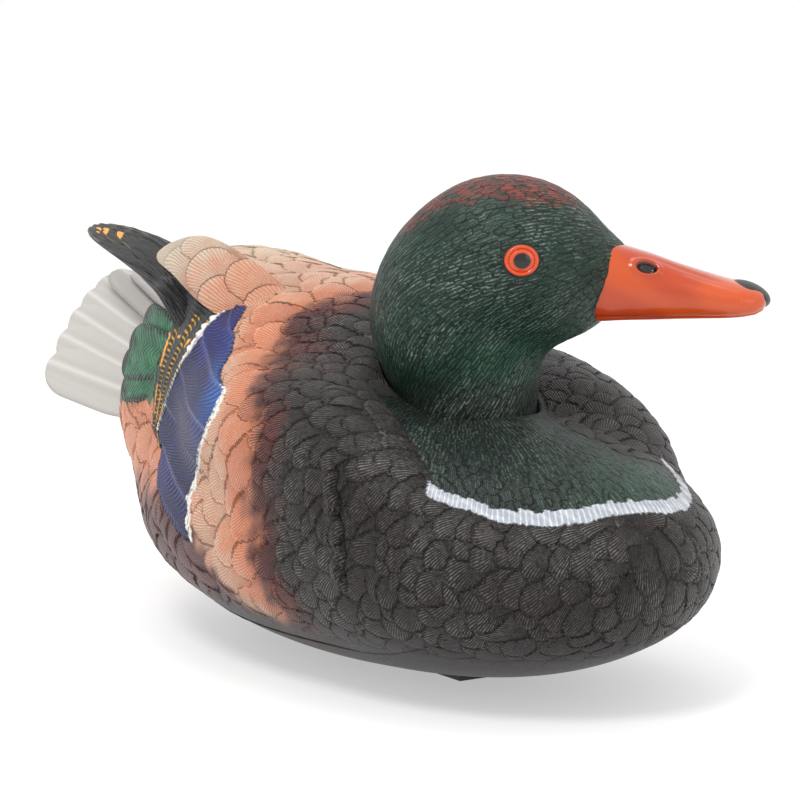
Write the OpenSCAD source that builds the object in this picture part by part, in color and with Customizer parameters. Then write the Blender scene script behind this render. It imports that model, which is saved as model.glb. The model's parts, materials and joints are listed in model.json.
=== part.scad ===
// Floating drake mallard decoy, moulded in pieces and assembled.
// Frame: +X towards the breast, +Y towards the duck's left, +Z up.
// The origin is the middle of the flat face that the hull rests on. Millimetres.

/* [Hull] */
// Length of the main hull form, breast and tail left out
hull_len = 226; // [200:1:250]
// Beam of the hull
hull_w = 127; // [115:1:140]
// Height of the centre of the hull form above the rest face
hull_mid_z = 39.5; // [36:0.5:42]
// Vertical half height of the hull form, which reaches below the flat face
hull_half_h = 41.5; // [40:0.5:46]
// Wall thickness of the moulded shells
wall = 3; // [2:0.5:4]
// Height of the seam between the upper shell and the hull pan, amidships
seam_z = 12; // [10:1:16]
// Gap that the seam gasket fills
seam_gap = 0.6; // [0.4:0.1:1]

/* [Neck and head] */
// Distance of the neck's turning axis ahead of the origin
neck_x = 28; // [24:1:32]
// Height of the face that the head turns on
seat_z = 70; // [66:1:74]
// How far the head is turned to the duck's left, in the stored pose
head_turn = 52; // [0:1:60]
// Centre height of the skull
skull_z = 117; // [110:1:124]
// Diameter of the eyes
eye_d = 10; // [8:0.5:12]
// Running gap between the neck and the well that it turns in
neck_gap = 0.9; // [0.6:0.1:1.5]

/* [Bill] */
// How far the bill's tip is from the neck axis
bill_reach = 87; // [80:1:92]
// Widest part of the bill
bill_w = 22; // [18:1:26]

/* [Tail and wing tips] */
// How far the tail's tip is behind the origin
tail_reach = 178; // [160:1:190]
// Width of the tail fan at its tip
tail_w = 72; // [60:1:84]
// Height of the tail's tip
tail_tip_z = 98; // [90:1:104]
// How far the wing tips are behind the origin
wing_tip_reach = 174; // [150:1:176]
// How much lower the left wing tip lies than the right one, which it is tucked under
left_wing_drop = 8; // [0:1:10]

/* [Hardware] */
// Diameter of the neck bolt
bolt_d = 6; // [5:1:8]
// Inner radius of the tether eye
tether_r = 5; // [4:0.5:6]
// Radius of the drain plug's shank
plug_r = 6; // [5:0.5:7]

/* [Hidden] */

$fn = 48;
fit = 0.05;      // radial clearance of a pin in its bore
big = 400;       // larger than the part
z_unit = [0, 0, 1];

// ---- distance fields: negative inside, level curves are the moulded surfaces ----

function clamp(v, lo, hi) = max(lo, min(hi, v));
function smooth_min(a, b, k) =
    let (h = clamp(0.5 + 0.5 * (b - a) / k, 0, 1))
    b * (1 - h) + a * h - k * h * (1 - h);
function smooth_max(a, b, k) = -smooth_min(-a, -b, k);

// An ellipsoid with centre c and half axes r, its nose raised by tilt degrees
function ellipsoid_d(p, c, r, tilt = 0) =
    let (q = p - c,
         x = q.x * cos(tilt) + q.z * sin(tilt),
         z = q.z * cos(tilt) - q.x * sin(tilt),
         near = norm([x / r.x, q.y / r.y, z / r.z]),
         slope = norm([x / (r.x * r.x), q.y / (r.y * r.y), z / (r.z * r.z)]))
    near * (near - 1) / max(slope, 1e-6);

// A round column from a to b whose radius runs from ra to rb
function column_d(p, a, b, ra, rb) =
    let (ab = b - a, t = clamp((p - a) * ab / (ab * ab), 0, 1))
    norm(p - a - t * ab) - (ra + (rb - ra) * t);

function breast_d(p) = ellipsoid_d(p, [52, 0, 39], [57, 54, 28]);
function hull_d(p) = ellipsoid_d(p, [-2, 0, hull_mid_z], [hull_len / 2, hull_w / 2, hull_half_h]);
function rump_d(p) = ellipsoid_d(p, [-84, 0, 62], [49, 43, 33]);
function back_d(p) = ellipsoid_d(p, [-40, 0, 74.5], [74, 48, 33], -6.5);
function scapular_d(p) = ellipsoid_d(p, [-82, 0, 100], [27, 22, 10], -12);
function neck_root_d(p) = column_d(p, [54, 0, 43], [neck_x, 0, 50], 25, 22);
function shoulder_d(p) = ellipsoid_d([p.x, abs(p.y), p.z], [8, 38, 64], [60, 26, 24], -9);

function body_d(p) =
    let (low = smooth_min(smooth_min(breast_d(p), hull_d(p), 14), rump_d(p), 14),
         top = smooth_min(smooth_min(low, back_d(p), 16), scapular_d(p), 10),
         whole = smooth_min(smooth_min(top, neck_root_d(p), 10), shoulder_d(p), 7))
    smooth_max(whole, -p.z, 5);

// The head's field is in the head's own frame: x towards the bill, origin on the neck axis
function head_d(p) =
    let (skull = ellipsoid_d(p, [11.5, 0, skull_z], [29.5, 27, 25.5]),
         brow = ellipsoid_d(p, [26, 0, skull_z - 1], [17, 13, 10]),
         chin = ellipsoid_d(p, [30, 0, skull_z - 9.5], [10, 11, 7.5]),
         jowl = ellipsoid_d(p, [-6, 0, skull_z - 14], [21, 24, 25]),
         neck = column_d(p, [0, 0, 66], [0, 0, 94], 19.5, 21.3),
         face = smooth_min(smooth_min(skull, brow, 10), chin, 6))
    smooth_min(smooth_min(face, jowl, 10), neck, 6);

// ---- surfaces found along rays ----

BODY = 0;
HEAD = 1;
function field(which, p) = which == BODY ? body_d(p) : head_d(p);

// Distance along dir from o to where the field reaches level, by halving
function ray(which, o, dir, level, lo = 0, hi = 190, n = 14) =
    n == 0 ? (lo + hi) / 2 :
    let (mid = (lo + hi) / 2)
    field(which, o + mid * dir) > level ? ray(which, o, dir, level, lo, mid, n - 1)
                                        : ray(which, o, dir, level, mid, hi, n - 1);

// The seam's height at x: level amidships, rising to the breast and to the tail
function seam_at(x) = seam_z + 28 * pow(max(0, (x - 30) / 80), 2) + 52 * pow(max(0, (-x - 30) / 100), 2);

// Where the body's surface crosses the seam line, ahead (dir 1) and astern (dir -1)
function pole_x(dir, level, lo = 60, hi = 160, n = 14) =
    let (mid = (lo + hi) / 2)
    n == 0 ? dir * mid :
    body_d([dir * mid, 0, seam_at(dir * mid)]) > level ? pole_x(dir, level, lo, mid, n - 1)
                                                       : pole_x(dir, level, mid, hi, n - 1);

// Stations bunch towards both ends, where the shell curves most
function station_x(i, n, level) =
    let (astern = pole_x(-1, level), ahead = pole_x(1, level))
    astern + (ahead - astern) * (0.5 - 0.5 * cos(180 * i / n));

function snap_floor(p) = abs(p.z) < 0.06 ? [p.x, p.y, 0] : p;
function body_point(x, angle, dz, level) =
    let (o = [x, 0, seam_at(x) + dz], dir = [0, cos(angle), sin(angle)])
    snap_floor(o + ray(BODY, o, dir, level, 0, 130) * dir);

// Half of the body's skin, from angle a0 to a1 about the seam line: the rows run from tail to breast
function skin_rows(n, m, a0, a1, dz, level) =
    let (xs = [for (i = [0:n]) station_x(i, n, level)])
    [for (i = [1:n - 1]) [for (j = [0:m]) body_point(xs[i], a0 + (a1 - a0) * j / m, dz, level)]];
function skin_poles(dz, level) =
    [for (dir = [-1, 1]) let (x = pole_x(dir, level)) [x, 0, seam_at(x) + dz]];

// A closed half shell: outer skin, inner skin, and the rim between them
module half_shell(n, m, a0, a1, dz) {
    outer = skin_rows(n, m, a0, a1, dz, 0);
    inner = skin_rows(n, m, a0, a1, dz, -wall);
    outer_poles = skin_poles(dz, 0);
    inner_poles = skin_poles(dz, -wall);
    row = m + 1;
    count = (n - 1) * row;
    points = concat([for (r = outer) each r], [for (r = inner) each r], outer_poles, inner_poles);
    tail = 2 * count;
    front = tail + 1;
    tail_in = tail + 2;
    front_in = tail + 3;
    grid = [for (s = [0, 1], i = [0:n - 3], j = [0:m - 1], half = [0, 1])
        let (a = s * count + i * row + j, b = a + row,
             face = half == 0 ? [a, b, b + 1] : [a, b + 1, a + 1])
        s == 0 ? face : [face[2], face[1], face[0]]];
    last = (n - 2) * row;
    caps = [for (j = [0:m - 1]) each [
        [tail, j, j + 1], [front, last + j + 1, last + j],
        [tail_in, count + j + 1, count + j], [front_in, count + last + j, count + last + j + 1]]];
    rim_low = [for (i = [0:n - 3], half = [0, 1])
        let (a = i * row, b = a + row)
        half == 0 ? [a, count + a, count + b] : [a, count + b, b]];
    rim_high = [for (i = [0:n - 3], half = [0, 1])
        let (a = i * row + m, b = a + row)
        half == 0 ? [a, count + b, count + a] : [a, b, count + b]];
    ends = [
        [tail, tail_in, count], [tail, count, 0],
        [tail, count + m, tail_in], [tail, m, count + m],
        [front, count + last, front_in], [front, last, count + last],
        [front, front_in, count + last + m], [front, count + last + m, last + m]];
    polyhedron(points, concat(grid, caps, rim_low, rim_high, ends), convexity = 8);
}

// A skin through equal rings, closed at its first and last point
module closed_skin(rings, first, last) {
    m = len(rings[0]);
    n = len(rings);
    points = concat([for (r = rings) each r], [first, last]);
    sides = [for (i = [0:n - 2], j = [0:m - 1], half = [0, 1])
        let (a = i * m + j, b = i * m + (j + 1) % m)
        half == 0 ? [a, b, b + m] : [a, b + m, a + m]];
    low = [for (j = [0:m - 1]) [n * m, (j + 1) % m, j]];
    high = [for (j = [0:m - 1]) [n * m + 1, (n - 1) * m + j, (n - 1) * m + (j + 1) % m]];
    polyhedron(points, [for (f = concat(sides, low, high)) [f[2], f[1], f[0]]], convexity = 8);
}

// A tube through closed rings of equal length, joined end to end into a loop
module looped_skin(rings) {
    m = len(rings[0]);
    n = len(rings);
    faces = [for (i = [0:n - 1], j = [0:m - 1], half = [0, 1])
        let (a = i * m + j, b = i * m + (j + 1) % m,
             c = ((i + 1) % n) * m + j, d = ((i + 1) % n) * m + (j + 1) % m)
        half == 0 ? [a, b, d] : [a, d, c]];
    polyhedron([for (r = rings) each r], faces, convexity = 8);
}

module bore(r, h, z0 = 0) translate([0, 0, z0]) cylinder(r = r, h = h);
module to_neck() translate([neck_x, 0, 0]) children();
module to_head() to_neck() rotate([0, 0, head_turn]) children();

// ---- hull ----

shell_stations = 36;
upper_steps = 26;
pan_steps = 12;

// Radius that the turning head sweeps at height z, from its nape
function sweep_r(z) = ray(HEAD, [0, 0, z], [-1, 0, 0], 0, 0, 60);
well_top = 112;
floor_t = 3;
cup_r = sweep_r(seat_z) + neck_gap + wall;

module neck_void() {
    steps = 9;
    rotate_extrude($fn = 96) polygon(concat(
        [[0, seat_z]],
        [for (i = [0:steps]) let (z = seat_z + (well_top - seat_z) * i / steps) [sweep_r(z) + neck_gap, z]],
        [[0, well_top]]));
}

// The wall behind the neck well is cut off along the slope of the back
module neck_cup() {
    slope = 26.5;
    mid_h = 82;
    difference() {
        bore(cup_r, well_top - 30, seat_z - floor_t);
        translate([0, 0, mid_h]) rotate([0, slope, 0]) translate([-big / 2, -big / 2, 0]) cube(big);
    }
}

tail_root_x = -112;
bush_r = 5;

module upper_shell() {
    color([0.22, 0.19, 0.18]) difference() {
        union() {
            half_shell(shell_stations, upper_steps, 0, 180, seam_gap / 2);
            to_neck() neck_cup();
        }
        to_neck() neck_void();
        to_neck() bore(bush_r, 20, seat_z - 10);
    }
}

post_spots = [for (x = [-18, -50], y = [-12, 12]) [x, y, 0]];
post_r = 4;
post_top = 9.5;
screw_r = 1.5;
screw_tip = 6;
plug_x = -2;
cup_x = 24;
cup_len = 30;
cup_w = 18;
cup_h = 8;
plug_seat = 1.4;
plug_boss_h = 9;

// Height inside the pan's wall under a point
function skin_under(p) = 30 - ray(BODY, [p.x, p.y, 30], -z_unit, 0, 0, 40) + wall / 2;

module hull_pan() {
    color([0.13, 0.11, 0.10]) difference() {
        union() {
            half_shell(shell_stations, pan_steps, 180, 360, -seam_gap / 2);
            for (p = post_spots) translate(p) bore(post_r, post_top - skin_under(p), skin_under(p));
            translate([plug_x, 0, 0]) bore(plug_r + wall, plug_boss_h - wall / 2, wall / 2);
        }
        for (p = post_spots) translate(p) bore(screw_r, post_top, screw_tip);
        translate([plug_x, 0, 0]) bore(plug_r + fit, 20, -1);
        translate([plug_x, 0, 0]) bore(plug_r + 2.2, plug_seat + 1, -1);
        translate([cup_x - cup_len / 2, -cup_w / 2, -1]) cube([cup_len, cup_w, 20]);
    }
}

gasket_out = -0.6;
gasket_in = -2.4;
gasket_half = seam_gap / 2 - 0.05;
function rim_point(i, n, side, level, dz) =
    let (x = station_x(i, n, level))
    i == 0 || i == n ? [x, 0, seam_at(x) + dz] : body_point(x, side > 0 ? 0 : 180, dz, level);
function gasket_ring(i, n, side) = [
    rim_point(i, n, side, gasket_out, gasket_half), rim_point(i, n, side, gasket_in, gasket_half),
    rim_point(i, n, side, gasket_in, -gasket_half), rim_point(i, n, side, gasket_out, -gasket_half)];

module seam_gasket() {
    n = shell_stations;
    color([0.08, 0.08, 0.08]) looped_skin(concat(
        [for (i = [0:n]) gasket_ring(i, n, 1)],
        [for (i = [n - 1:-1:1]) gasket_ring(i, n, -1)]));
}

// The tail: an arched fan, cocked up, with a scalloped tip of feather ends
tail_feathers = 7;
function tail_half_w(v) = 22 + (tail_w / 2 - 22) * pow(v, 0.8);
function tail_scallop(u) = 3 * abs(sin(90 * (u + 1) * tail_feathers));
function tail_top(u, v) = [
    tail_root_x - v * (tail_reach + tail_root_x - 9 * u * u - 3 + tail_scallop(u)),
    u * tail_half_w(v),
    74 + (tail_tip_z - 74) * v - (14 + 18 * v) * pow(abs(u), 1.6)];
function tail_t(v) = 5 - 2.6 * v;

module tail_fan() {
    across = 28;
    along = 5;
    rings = [for (i = [0:along]) let (v = i / along) concat(
        [for (j = [0:across]) tail_top(2 * j / across - 1, v)],
        [for (j = [across:-1:0]) tail_top(2 * j / across - 1, v) - tail_t(v) * z_unit])];
    color([0.90, 0.89, 0.86]) fan_skin(rings, across);
}

// Closes a stack of flat slot-shaped rings, each an upper edge and a lower edge of equal length
module fan_skin(rings, across) {
    m = len(rings[0]);
    n = len(rings);
    sides = [for (i = [0:n - 2], j = [0:m - 1], half = [0, 1])
        let (a = i * m + j, b = i * m + (j + 1) % m)
        half == 0 ? [a, b, b + m] : [a, b + m, a + m]];
    ends = [for (s = [0, 1], j = [0:across - 1], half = [0, 1])
        let (o = s * (n - 1) * m, a = o + j, b = o + m - 1 - j,
             face = half == 0 ? [a, b, b - 1] : [a, b - 1, a + 1])
        s == 0 ? face : [face[2], face[1], face[0]]];
    polyhedron([for (r = rings) each r], concat(sides, ends), convexity = 8);
}

// A wing tip: a leaf of folded flight feathers, from the flank to over the tail.
function wing_mid(t, side) = [
    -62 - (wing_tip_reach - 62) * t,
    34 - 21.5 * pow(t, 1.2),
    95.5 + 17.5 * pow(t, 0.36) - (side > 0 ? left_wing_drop : 0)];
function wing_half_h(t) = 9.5 * pow(1 - t, 0.42) * pow(min(1, t / 0.15), 0.7) + 0.8;
wing_lean = 40;

module wing_tip(side) {
    steps = 14;
    sides = 16;
    rings = [for (i = [0:steps])
        let (t = i / steps, c = wing_mid(t, side), h = wing_half_h(t), w = 2.6 - 1.2 * t)
        [for (j = [0:sides - 1])
            let (a = 360 * j / sides, u = h * cos(a), v = w * sin(a))
            [c.x, side * (c.y - u * cos(wing_lean) + v * sin(wing_lean)),
             c.z + u * sin(wing_lean) + v * cos(wing_lean)]]];
    outward = side > 0 ? rings : [for (r = rings) [for (j = [sides - 1:-1:0]) r[j]]];
    first = [wing_mid(0, side).x + 1, side * wing_mid(0, side).y, wing_mid(0, side).z];
    last = [wing_mid(1, side).x - 1, side * wing_mid(1, side).y, wing_mid(1, side).z];
    color([0.10, 0.10, 0.10]) closed_skin(outward, first, last);
}
module wing_tip_right() wing_tip(-1);
module wing_tip_left() wing_tip(1);

module slab(size, r, z0) {
    translate([-size.x / 2 + r, -size.y / 2, z0]) cube([size.x - 2 * r, size.y, size.z]);
    translate([-size.x / 2, -size.y / 2 + r, z0]) cube([size.x, size.y - 2 * r, size.z]);
    for (x = [-1, 1], y = [-1, 1])
        translate([x * (size.x / 2 - r), y * (size.y / 2 - r), z0]) cylinder(r = r, h = size.z);
}

module foam_float() {
    color([0.93, 0.92, 0.86]) translate([-30, 0, 0]) slab([84, 78, 26], 16, 30);
}

ballast_t = 10;

module ballast_weight() {
    color([0.35, 0.35, 0.36]) difference() {
        translate([-34, 0, 0]) slab([48, 36, ballast_t], 5, post_top);
        for (p = post_spots) translate(p) bore(screw_r + 0.3, 30, 0);
    }
}

module ballast_screws() {
    color([0.72, 0.72, 0.74]) for (p = post_spots) translate(p) {
        bore(screw_r, post_top + ballast_t - screw_tip, screw_tip);
        bore(2.3 * screw_r, 2.4, post_top + ballast_t);
    }
}

// ---- neck bearing ----

bolt_r = bolt_d / 2;
floor_low = seat_z - floor_t;
washer_t = 0.8;

module neck_bushing() {
    color([0.88, 0.87, 0.82]) to_neck() difference() {
        union() {
            bore(bush_r, floor_t, floor_low);
            bore(bush_r + 3, 1.5, floor_low - 1.5);
        }
        bore(bolt_r + fit, 20, floor_low - 8);
    }
}

module friction_washer() {
    color([0.10, 0.10, 0.10]) to_neck() difference() {
        bore(16, washer_t, seat_z);
        bore(bolt_r + 0.6, 4, seat_z - 1);
    }
}

// ---- tether and drain, in the underside ----

pin_x = cup_x + 9;
pin_z = 2.8;
pin_r = 1.25;
eye_t = 2;
eye_ring_r = tether_r + 2.2;
eye_reach = 12;

module tether_cup() {
    pocket_len = cup_len - 4;
    color([0.13, 0.11, 0.10]) difference() {
        translate([cup_x - cup_len / 2, -cup_w / 2, 0]) cube([cup_len, cup_w, cup_h]);
        translate([cup_x - pocket_len / 2, -cup_w / 2 + 1.4, -1])
            cube([pocket_len, cup_w - 2.8, cup_h - 1.2]);
        translate([pin_x, big / 2, pin_z]) rotate([90, 0, 0]) cylinder(r = pin_r, h = big);
    }
}

module tether_pin() {
    color([0.75, 0.75, 0.77]) translate([pin_x, cup_w / 2, pin_z])
        rotate([90, 0, 0]) cylinder(r = pin_r, h = cup_w);
}

module tether_eye() {
    color([0.70, 0.70, 0.72]) difference() {
        union() {
            translate([pin_x - eye_reach, 0, pin_z - eye_t / 2]) cylinder(r = eye_ring_r, h = eye_t);
            translate([pin_x - eye_reach, -3.5, pin_z - eye_t / 2]) cube([eye_reach, 7, eye_t]);
            translate([pin_x, 3.5, pin_z]) rotate([90, 0, 0]) cylinder(r = pin_r + 1, h = 7);
        }
        translate([pin_x - eye_reach, 0, pin_z - 5]) cylinder(r = tether_r, h = 10);
        translate([pin_x, 5, pin_z]) rotate([90, 0, 0]) cylinder(r = pin_r + fit, h = 10);
    }
}

ring_groove_z = 5;
ring_t = 1.6;

module drain_plug() {
    color([0.16, 0.16, 0.17]) translate([plug_x, 0, 0]) difference() {
        union() {
            bore(plug_r, 9, 0.3);
            bore(plug_r + 1.8, plug_seat - 0.6, 0.3);
        }
        rotate_extrude() translate([plug_r - 0.9, ring_groove_z]) square([3, ring_t]);
        translate([-plug_r, -0.8, -1]) cube([2 * plug_r, 1.6, 1.7]);
    }
}

module drain_o_ring() {
    color([0.05, 0.05, 0.05]) translate([plug_x, 0, 0]) difference() {
        bore(plug_r + fit / 2, ring_t, ring_groove_z);
        bore(plug_r - 0.9, 4, ring_groove_z - 1);
    }
}

// ---- head ----

neck_edge_z = seat_z + 0.6;
head_rows = 20;
head_sides = 28;
function head_centre(z) = [12 * pow(clamp((z - 80) / 34, 0, 1), 1.3), 0, z];
function crown_z(level) = head_centre(skull_z).z + ray(HEAD, head_centre(skull_z), z_unit, level, 0, 60);
function head_row(z, level) = [for (j = [0:head_sides - 1])
    let (a = 360 * j / head_sides, dir = [cos(a), sin(a), 0])
    head_centre(z) + ray(HEAD, head_centre(z), dir, level, 0, 70) * dir];
function head_skin(level) = let (top = crown_z(level))
    [for (i = [0:head_rows - 1])
        head_row(neck_edge_z + (top - neck_edge_z) * sin(90 * i / head_rows), level)];

module head_shell() {
    outer = head_skin(0);
    inner = head_skin(-wall);
    m = head_sides;
    n = head_rows;
    count = n * m;
    points = concat([for (r = outer) each r], [for (r = inner) each r],
        [[12, 0, crown_z(0)], [12, 0, crown_z(-wall)]]);
    skins = [for (s = [0, 1], i = [0:n - 2], j = [0:m - 1], half = [0, 1])
        let (a = s * count + i * m + j, b = s * count + i * m + (j + 1) % m,
             face = half == 0 ? [a, b, b + m] : [a, b + m, a + m])
        s == 0 ? face : [face[2], face[1], face[0]]];
    crown = [for (j = [0:m - 1]) let (a = count - m + j, b = count - m + (j + 1) % m) each
        [[2 * count, a, b], [2 * count + 1, count + b, count + a]]];
    edge = [for (j = [0:m - 1], half = [0, 1]) let (a = j, b = (j + 1) % m)
        half == 0 ? [a, count + a, count + b] : [a, count + b, b]];
    color([0.09, 0.27, 0.20]) to_head() difference() {
        polyhedron(points, [for (f = concat(skins, crown, edge)) [f[2], f[1], f[0]]], convexity = 8);
        for (side = [-1, 1]) eye_spot(side) cylinder(r = eye_d / 2, h = 12, center = true);
    }
}

eye_x = 17;
eye_z = 121;
eye_y = ray(HEAD, [eye_x, 0, eye_z], [0, 1, 0], 0, 0, 40);
eye_yaw = 14;
module eye_spot(side) {
    translate([eye_x, side * eye_y, eye_z]) rotate([-side * 90, 0, -side * eye_yaw]) children();
}

module eye(side) {
    dome_r = 7;
    color([0.85, 0.32, 0.08]) to_head() eye_spot(side) intersection() {
        translate([0, 0, -dome_r + 1.6]) sphere(r = dome_r);
        translate([0, 0, -4]) cylinder(r = eye_d / 2, h = 12);
    }
}
module eye_right() eye(-1);
module eye_left() eye(1);

// The bill's stations: distance along the bill from 0 at its root to 1 at its tip,
// height of its middle, half width and half height
bill_root_x = 36;
bill_stations = [
    [0.00, 112.4, 0.86, 10.8], [0.16, 112.2, 0.86, 10.7], [0.32, 111.2, 0.86, 9.6], [0.48, 109.8, 0.90, 7.9],
    [0.64, 108.8, 0.97, 6.6], [0.78, 108.1, 1.00, 5.5], [0.89, 107.7, 0.92, 4.5], [0.97, 107.8, 0.62, 2.9]];
module bill() {
    sides = 24;
    bill_len = bill_reach - bill_root_x;
    rings = [for (s = bill_stations)
        [for (j = [sides - 1:-1:0])
            let (a = 360 * j / sides)
            [bill_root_x + s[0] * bill_len, s[2] * bill_w / 2 * cos(a), s[1] + s[3] * sin(a)]]];
    root = [bill_root_x, 0, bill_stations[0][1]];
    tip = [bill_reach, 0, bill_stations[len(bill_stations) - 1][1]];
    color([0.84, 0.27, 0.07]) to_head() closed_skin(rings, root, tip);
}

base_r = sweep_r(seat_z + 1) - wall - 0.2;
base_z = seat_z + washer_t + 0.3;
base_t = 4;
bolt_end = floor_low - 15;
head_t = 4;

module neck_base() {
    color([0.20, 0.20, 0.20]) to_neck() difference() {
        bore(base_r, base_t, base_z);
        bore(bolt_r, 20, base_z - 8);
    }
}

module neck_bolt() {
    color([0.74, 0.74, 0.76]) to_neck() {
        bore(bolt_r, base_z + base_t - bolt_end, bolt_end);
        bore(2.2 * bolt_r, head_t, base_z + base_t);
    }
}

washer_top = floor_low - 1.7;
module neck_washer() {
    color([0.74, 0.74, 0.76]) to_neck() difference() {
        bore(2.6 * bolt_r, 1.5, washer_top - 1.5);
        bore(bolt_r, 8, washer_top - 5);
    }
}

module neck_nut() {
    color([0.74, 0.74, 0.76]) to_neck() difference() {
        translate([0, 0, washer_top - 7]) cylinder(d = 1.92 * bolt_d, h = 5.5, $fn = 6);
        bore(bolt_r, 20, washer_top - 14);
    }
}

upper_shell();
hull_pan();
seam_gasket();
tail_fan();
wing_tip_right();
wing_tip_left();
foam_float();
ballast_weight();
ballast_screws();
neck_bushing();
friction_washer();
tether_cup();
tether_pin();
tether_eye();
drain_plug();
drain_o_ring();
head_shell();
bill();
eye_right();
eye_left();
neck_base();
neck_bolt();
neck_washer();
neck_nut();
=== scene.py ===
import json
import math

import bpy
import numpy as np
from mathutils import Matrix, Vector


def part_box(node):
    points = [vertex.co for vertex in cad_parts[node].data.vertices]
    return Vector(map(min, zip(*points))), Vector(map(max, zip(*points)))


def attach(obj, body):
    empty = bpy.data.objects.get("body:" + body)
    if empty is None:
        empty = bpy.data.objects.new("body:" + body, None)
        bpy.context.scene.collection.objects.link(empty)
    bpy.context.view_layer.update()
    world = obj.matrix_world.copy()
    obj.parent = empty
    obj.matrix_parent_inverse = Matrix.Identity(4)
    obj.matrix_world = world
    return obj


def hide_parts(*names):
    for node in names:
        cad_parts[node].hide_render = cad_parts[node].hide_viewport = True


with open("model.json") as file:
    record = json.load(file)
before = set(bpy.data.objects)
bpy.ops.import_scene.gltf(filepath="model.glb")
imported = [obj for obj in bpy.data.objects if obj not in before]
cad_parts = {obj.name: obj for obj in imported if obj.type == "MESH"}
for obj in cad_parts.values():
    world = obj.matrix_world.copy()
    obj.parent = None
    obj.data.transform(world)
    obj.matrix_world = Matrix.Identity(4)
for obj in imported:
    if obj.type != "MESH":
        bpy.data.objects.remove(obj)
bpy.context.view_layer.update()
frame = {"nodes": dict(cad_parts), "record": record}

# All shapes below are worked out in millimetres in the part's own frame, and made in metres.
MM = 0.001
FINE = 1.0      # coarser skins while trying things
rng = np.random.default_rng(11)

NECK_X = 28.0                          # the axis that the head turns on
SEAT_Z = 70.0                          # the floor of the well that the neck stands in
HEAD_TURN = math.radians(52)           # how far the head is turned to its left at rest
NECK_GAP = 0.7                         # clear space round the neck
SEAM_GAP = 0.05                        # between the upper shell and the pan
WALL = 3.0                             # how far the rims at the seam turn in
HAIR_PITCH = 1.05                      # mm between the hairs of the head and chest
PATCH_LOW, PATCH_TOP = 37, 100         # the blue wing patch's heights
COLLAR_SPREAD = 44.5                   # degrees that the white collar goes to either side
EYE_X, EYE_Z = 17.0, 121.0             # in the head's frame
EYE_YAW = math.radians(14)             # how far the eyes look ahead of straight sideways


def srgb(r, g, b):
    """A colour as painted, 0 to 255, turned into the linear values that shaders use."""
    c = np.array([r, g, b], float) / 255
    return np.where(c < 0.04045, c / 12.92, ((c + 0.055) / 1.055) ** 2.4)


def ramp(x, lo, hi):
    """0 below lo, 1 above hi, and smooth between."""
    t = np.clip((x - lo) / (hi - lo), 0, 1)
    return t * t * (3 - 2 * t)


def mix(a, b, t):
    """From colour a to colour b. t may be one number or one for each point."""
    t = np.asarray(t, float)
    if np.ndim(t) == 1:
        t = t[:, None]
    return a * (1 - t) + b * t


def fraction(v):
    return v - np.floor(v)


def unit(v):
    return v / np.maximum(np.linalg.norm(v, axis=-1, keepdims=True), 1e-9)


# ---------------------------------------------------------------- form: distance fields

def smooth_min(a, b, k):
    """The union of two fields, filleted over about k mm."""
    h = np.clip(0.5 + 0.5 * (b - a) / k, 0, 1)
    return b * (1 - h) + a * h - k * h * (1 - h)


def smooth_max(a, b, k):
    return -smooth_min(-a, -b, k)


def ellipsoid(p, centre, radii, tilt=0.0):
    """tilt is in degrees, positive for a higher front end."""
    q = p - np.asarray(centre)
    if tilt:
        c, s = math.cos(math.radians(tilt)), math.sin(math.radians(tilt))
        q = np.stack([q[:, 0] * c + q[:, 2] * s, q[:, 1], q[:, 2] * c - q[:, 0] * s], 1)
    r = np.asarray(radii)
    near = np.linalg.norm(q / r, axis=1)
    return near * (near - 1) / (np.linalg.norm(q / (r * r), axis=1) + 1e-9)


def column(p, a, b, ra, rb):
    """A round-ended rod from a to b, whose radius goes from ra to rb."""
    a, b = np.asarray(a), np.asarray(b)
    ab = b - a
    t = np.clip((p - a) @ ab / (ab @ ab), 0, 1)
    return np.linalg.norm(p - a - t[:, None] * ab, axis=1) - (ra + (rb - ra) * t)


def head_field(q):
    """The head in its own frame: x towards the bill, the turning axis at x = y = 0."""
    d = ellipsoid(q, (11.5, 0, 117), (29.5, 27, 25.5))
    d = smooth_min(d, ellipsoid(q, (26, 0, 116), (17, 13, 10)), 10)
    d = smooth_min(d, ellipsoid(q, (30, 0, 107.5), (10, 11, 7.5)), 6)
    d = smooth_min(d, ellipsoid(q, (-6, 0, 103), (21, 24, 25)), 10)
    d = smooth_min(d, column(q, (0, 0, 66), (0, 0, 94), 19.5, 21.3), 6)
    d = smooth_min(d, ellipsoid(q, (35, 0, 121.0), (11.5, 6, 5.5), -14), 4)
    return smooth_max(d, SEAT_Z + 0.6 - q[:, 2], 0.6)


def sweep_radius(z):
    """How far the head reaches behind its axis at height z."""
    lo, hi = np.zeros(len(z)), np.full(len(z), 60.0)
    for _ in range(20):
        mid = (lo + hi) / 2
        inside = head_field(np.stack([-mid, 0 * z, np.maximum(z, SEAT_Z + 1.5)], 1)) < 0
        lo, hi = np.where(inside, mid, lo), np.where(inside, hi, mid)
    return lo


WELL_Z = np.linspace(68, 116, 49)
WELL_R = sweep_radius(WELL_Z) + NECK_GAP


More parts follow.
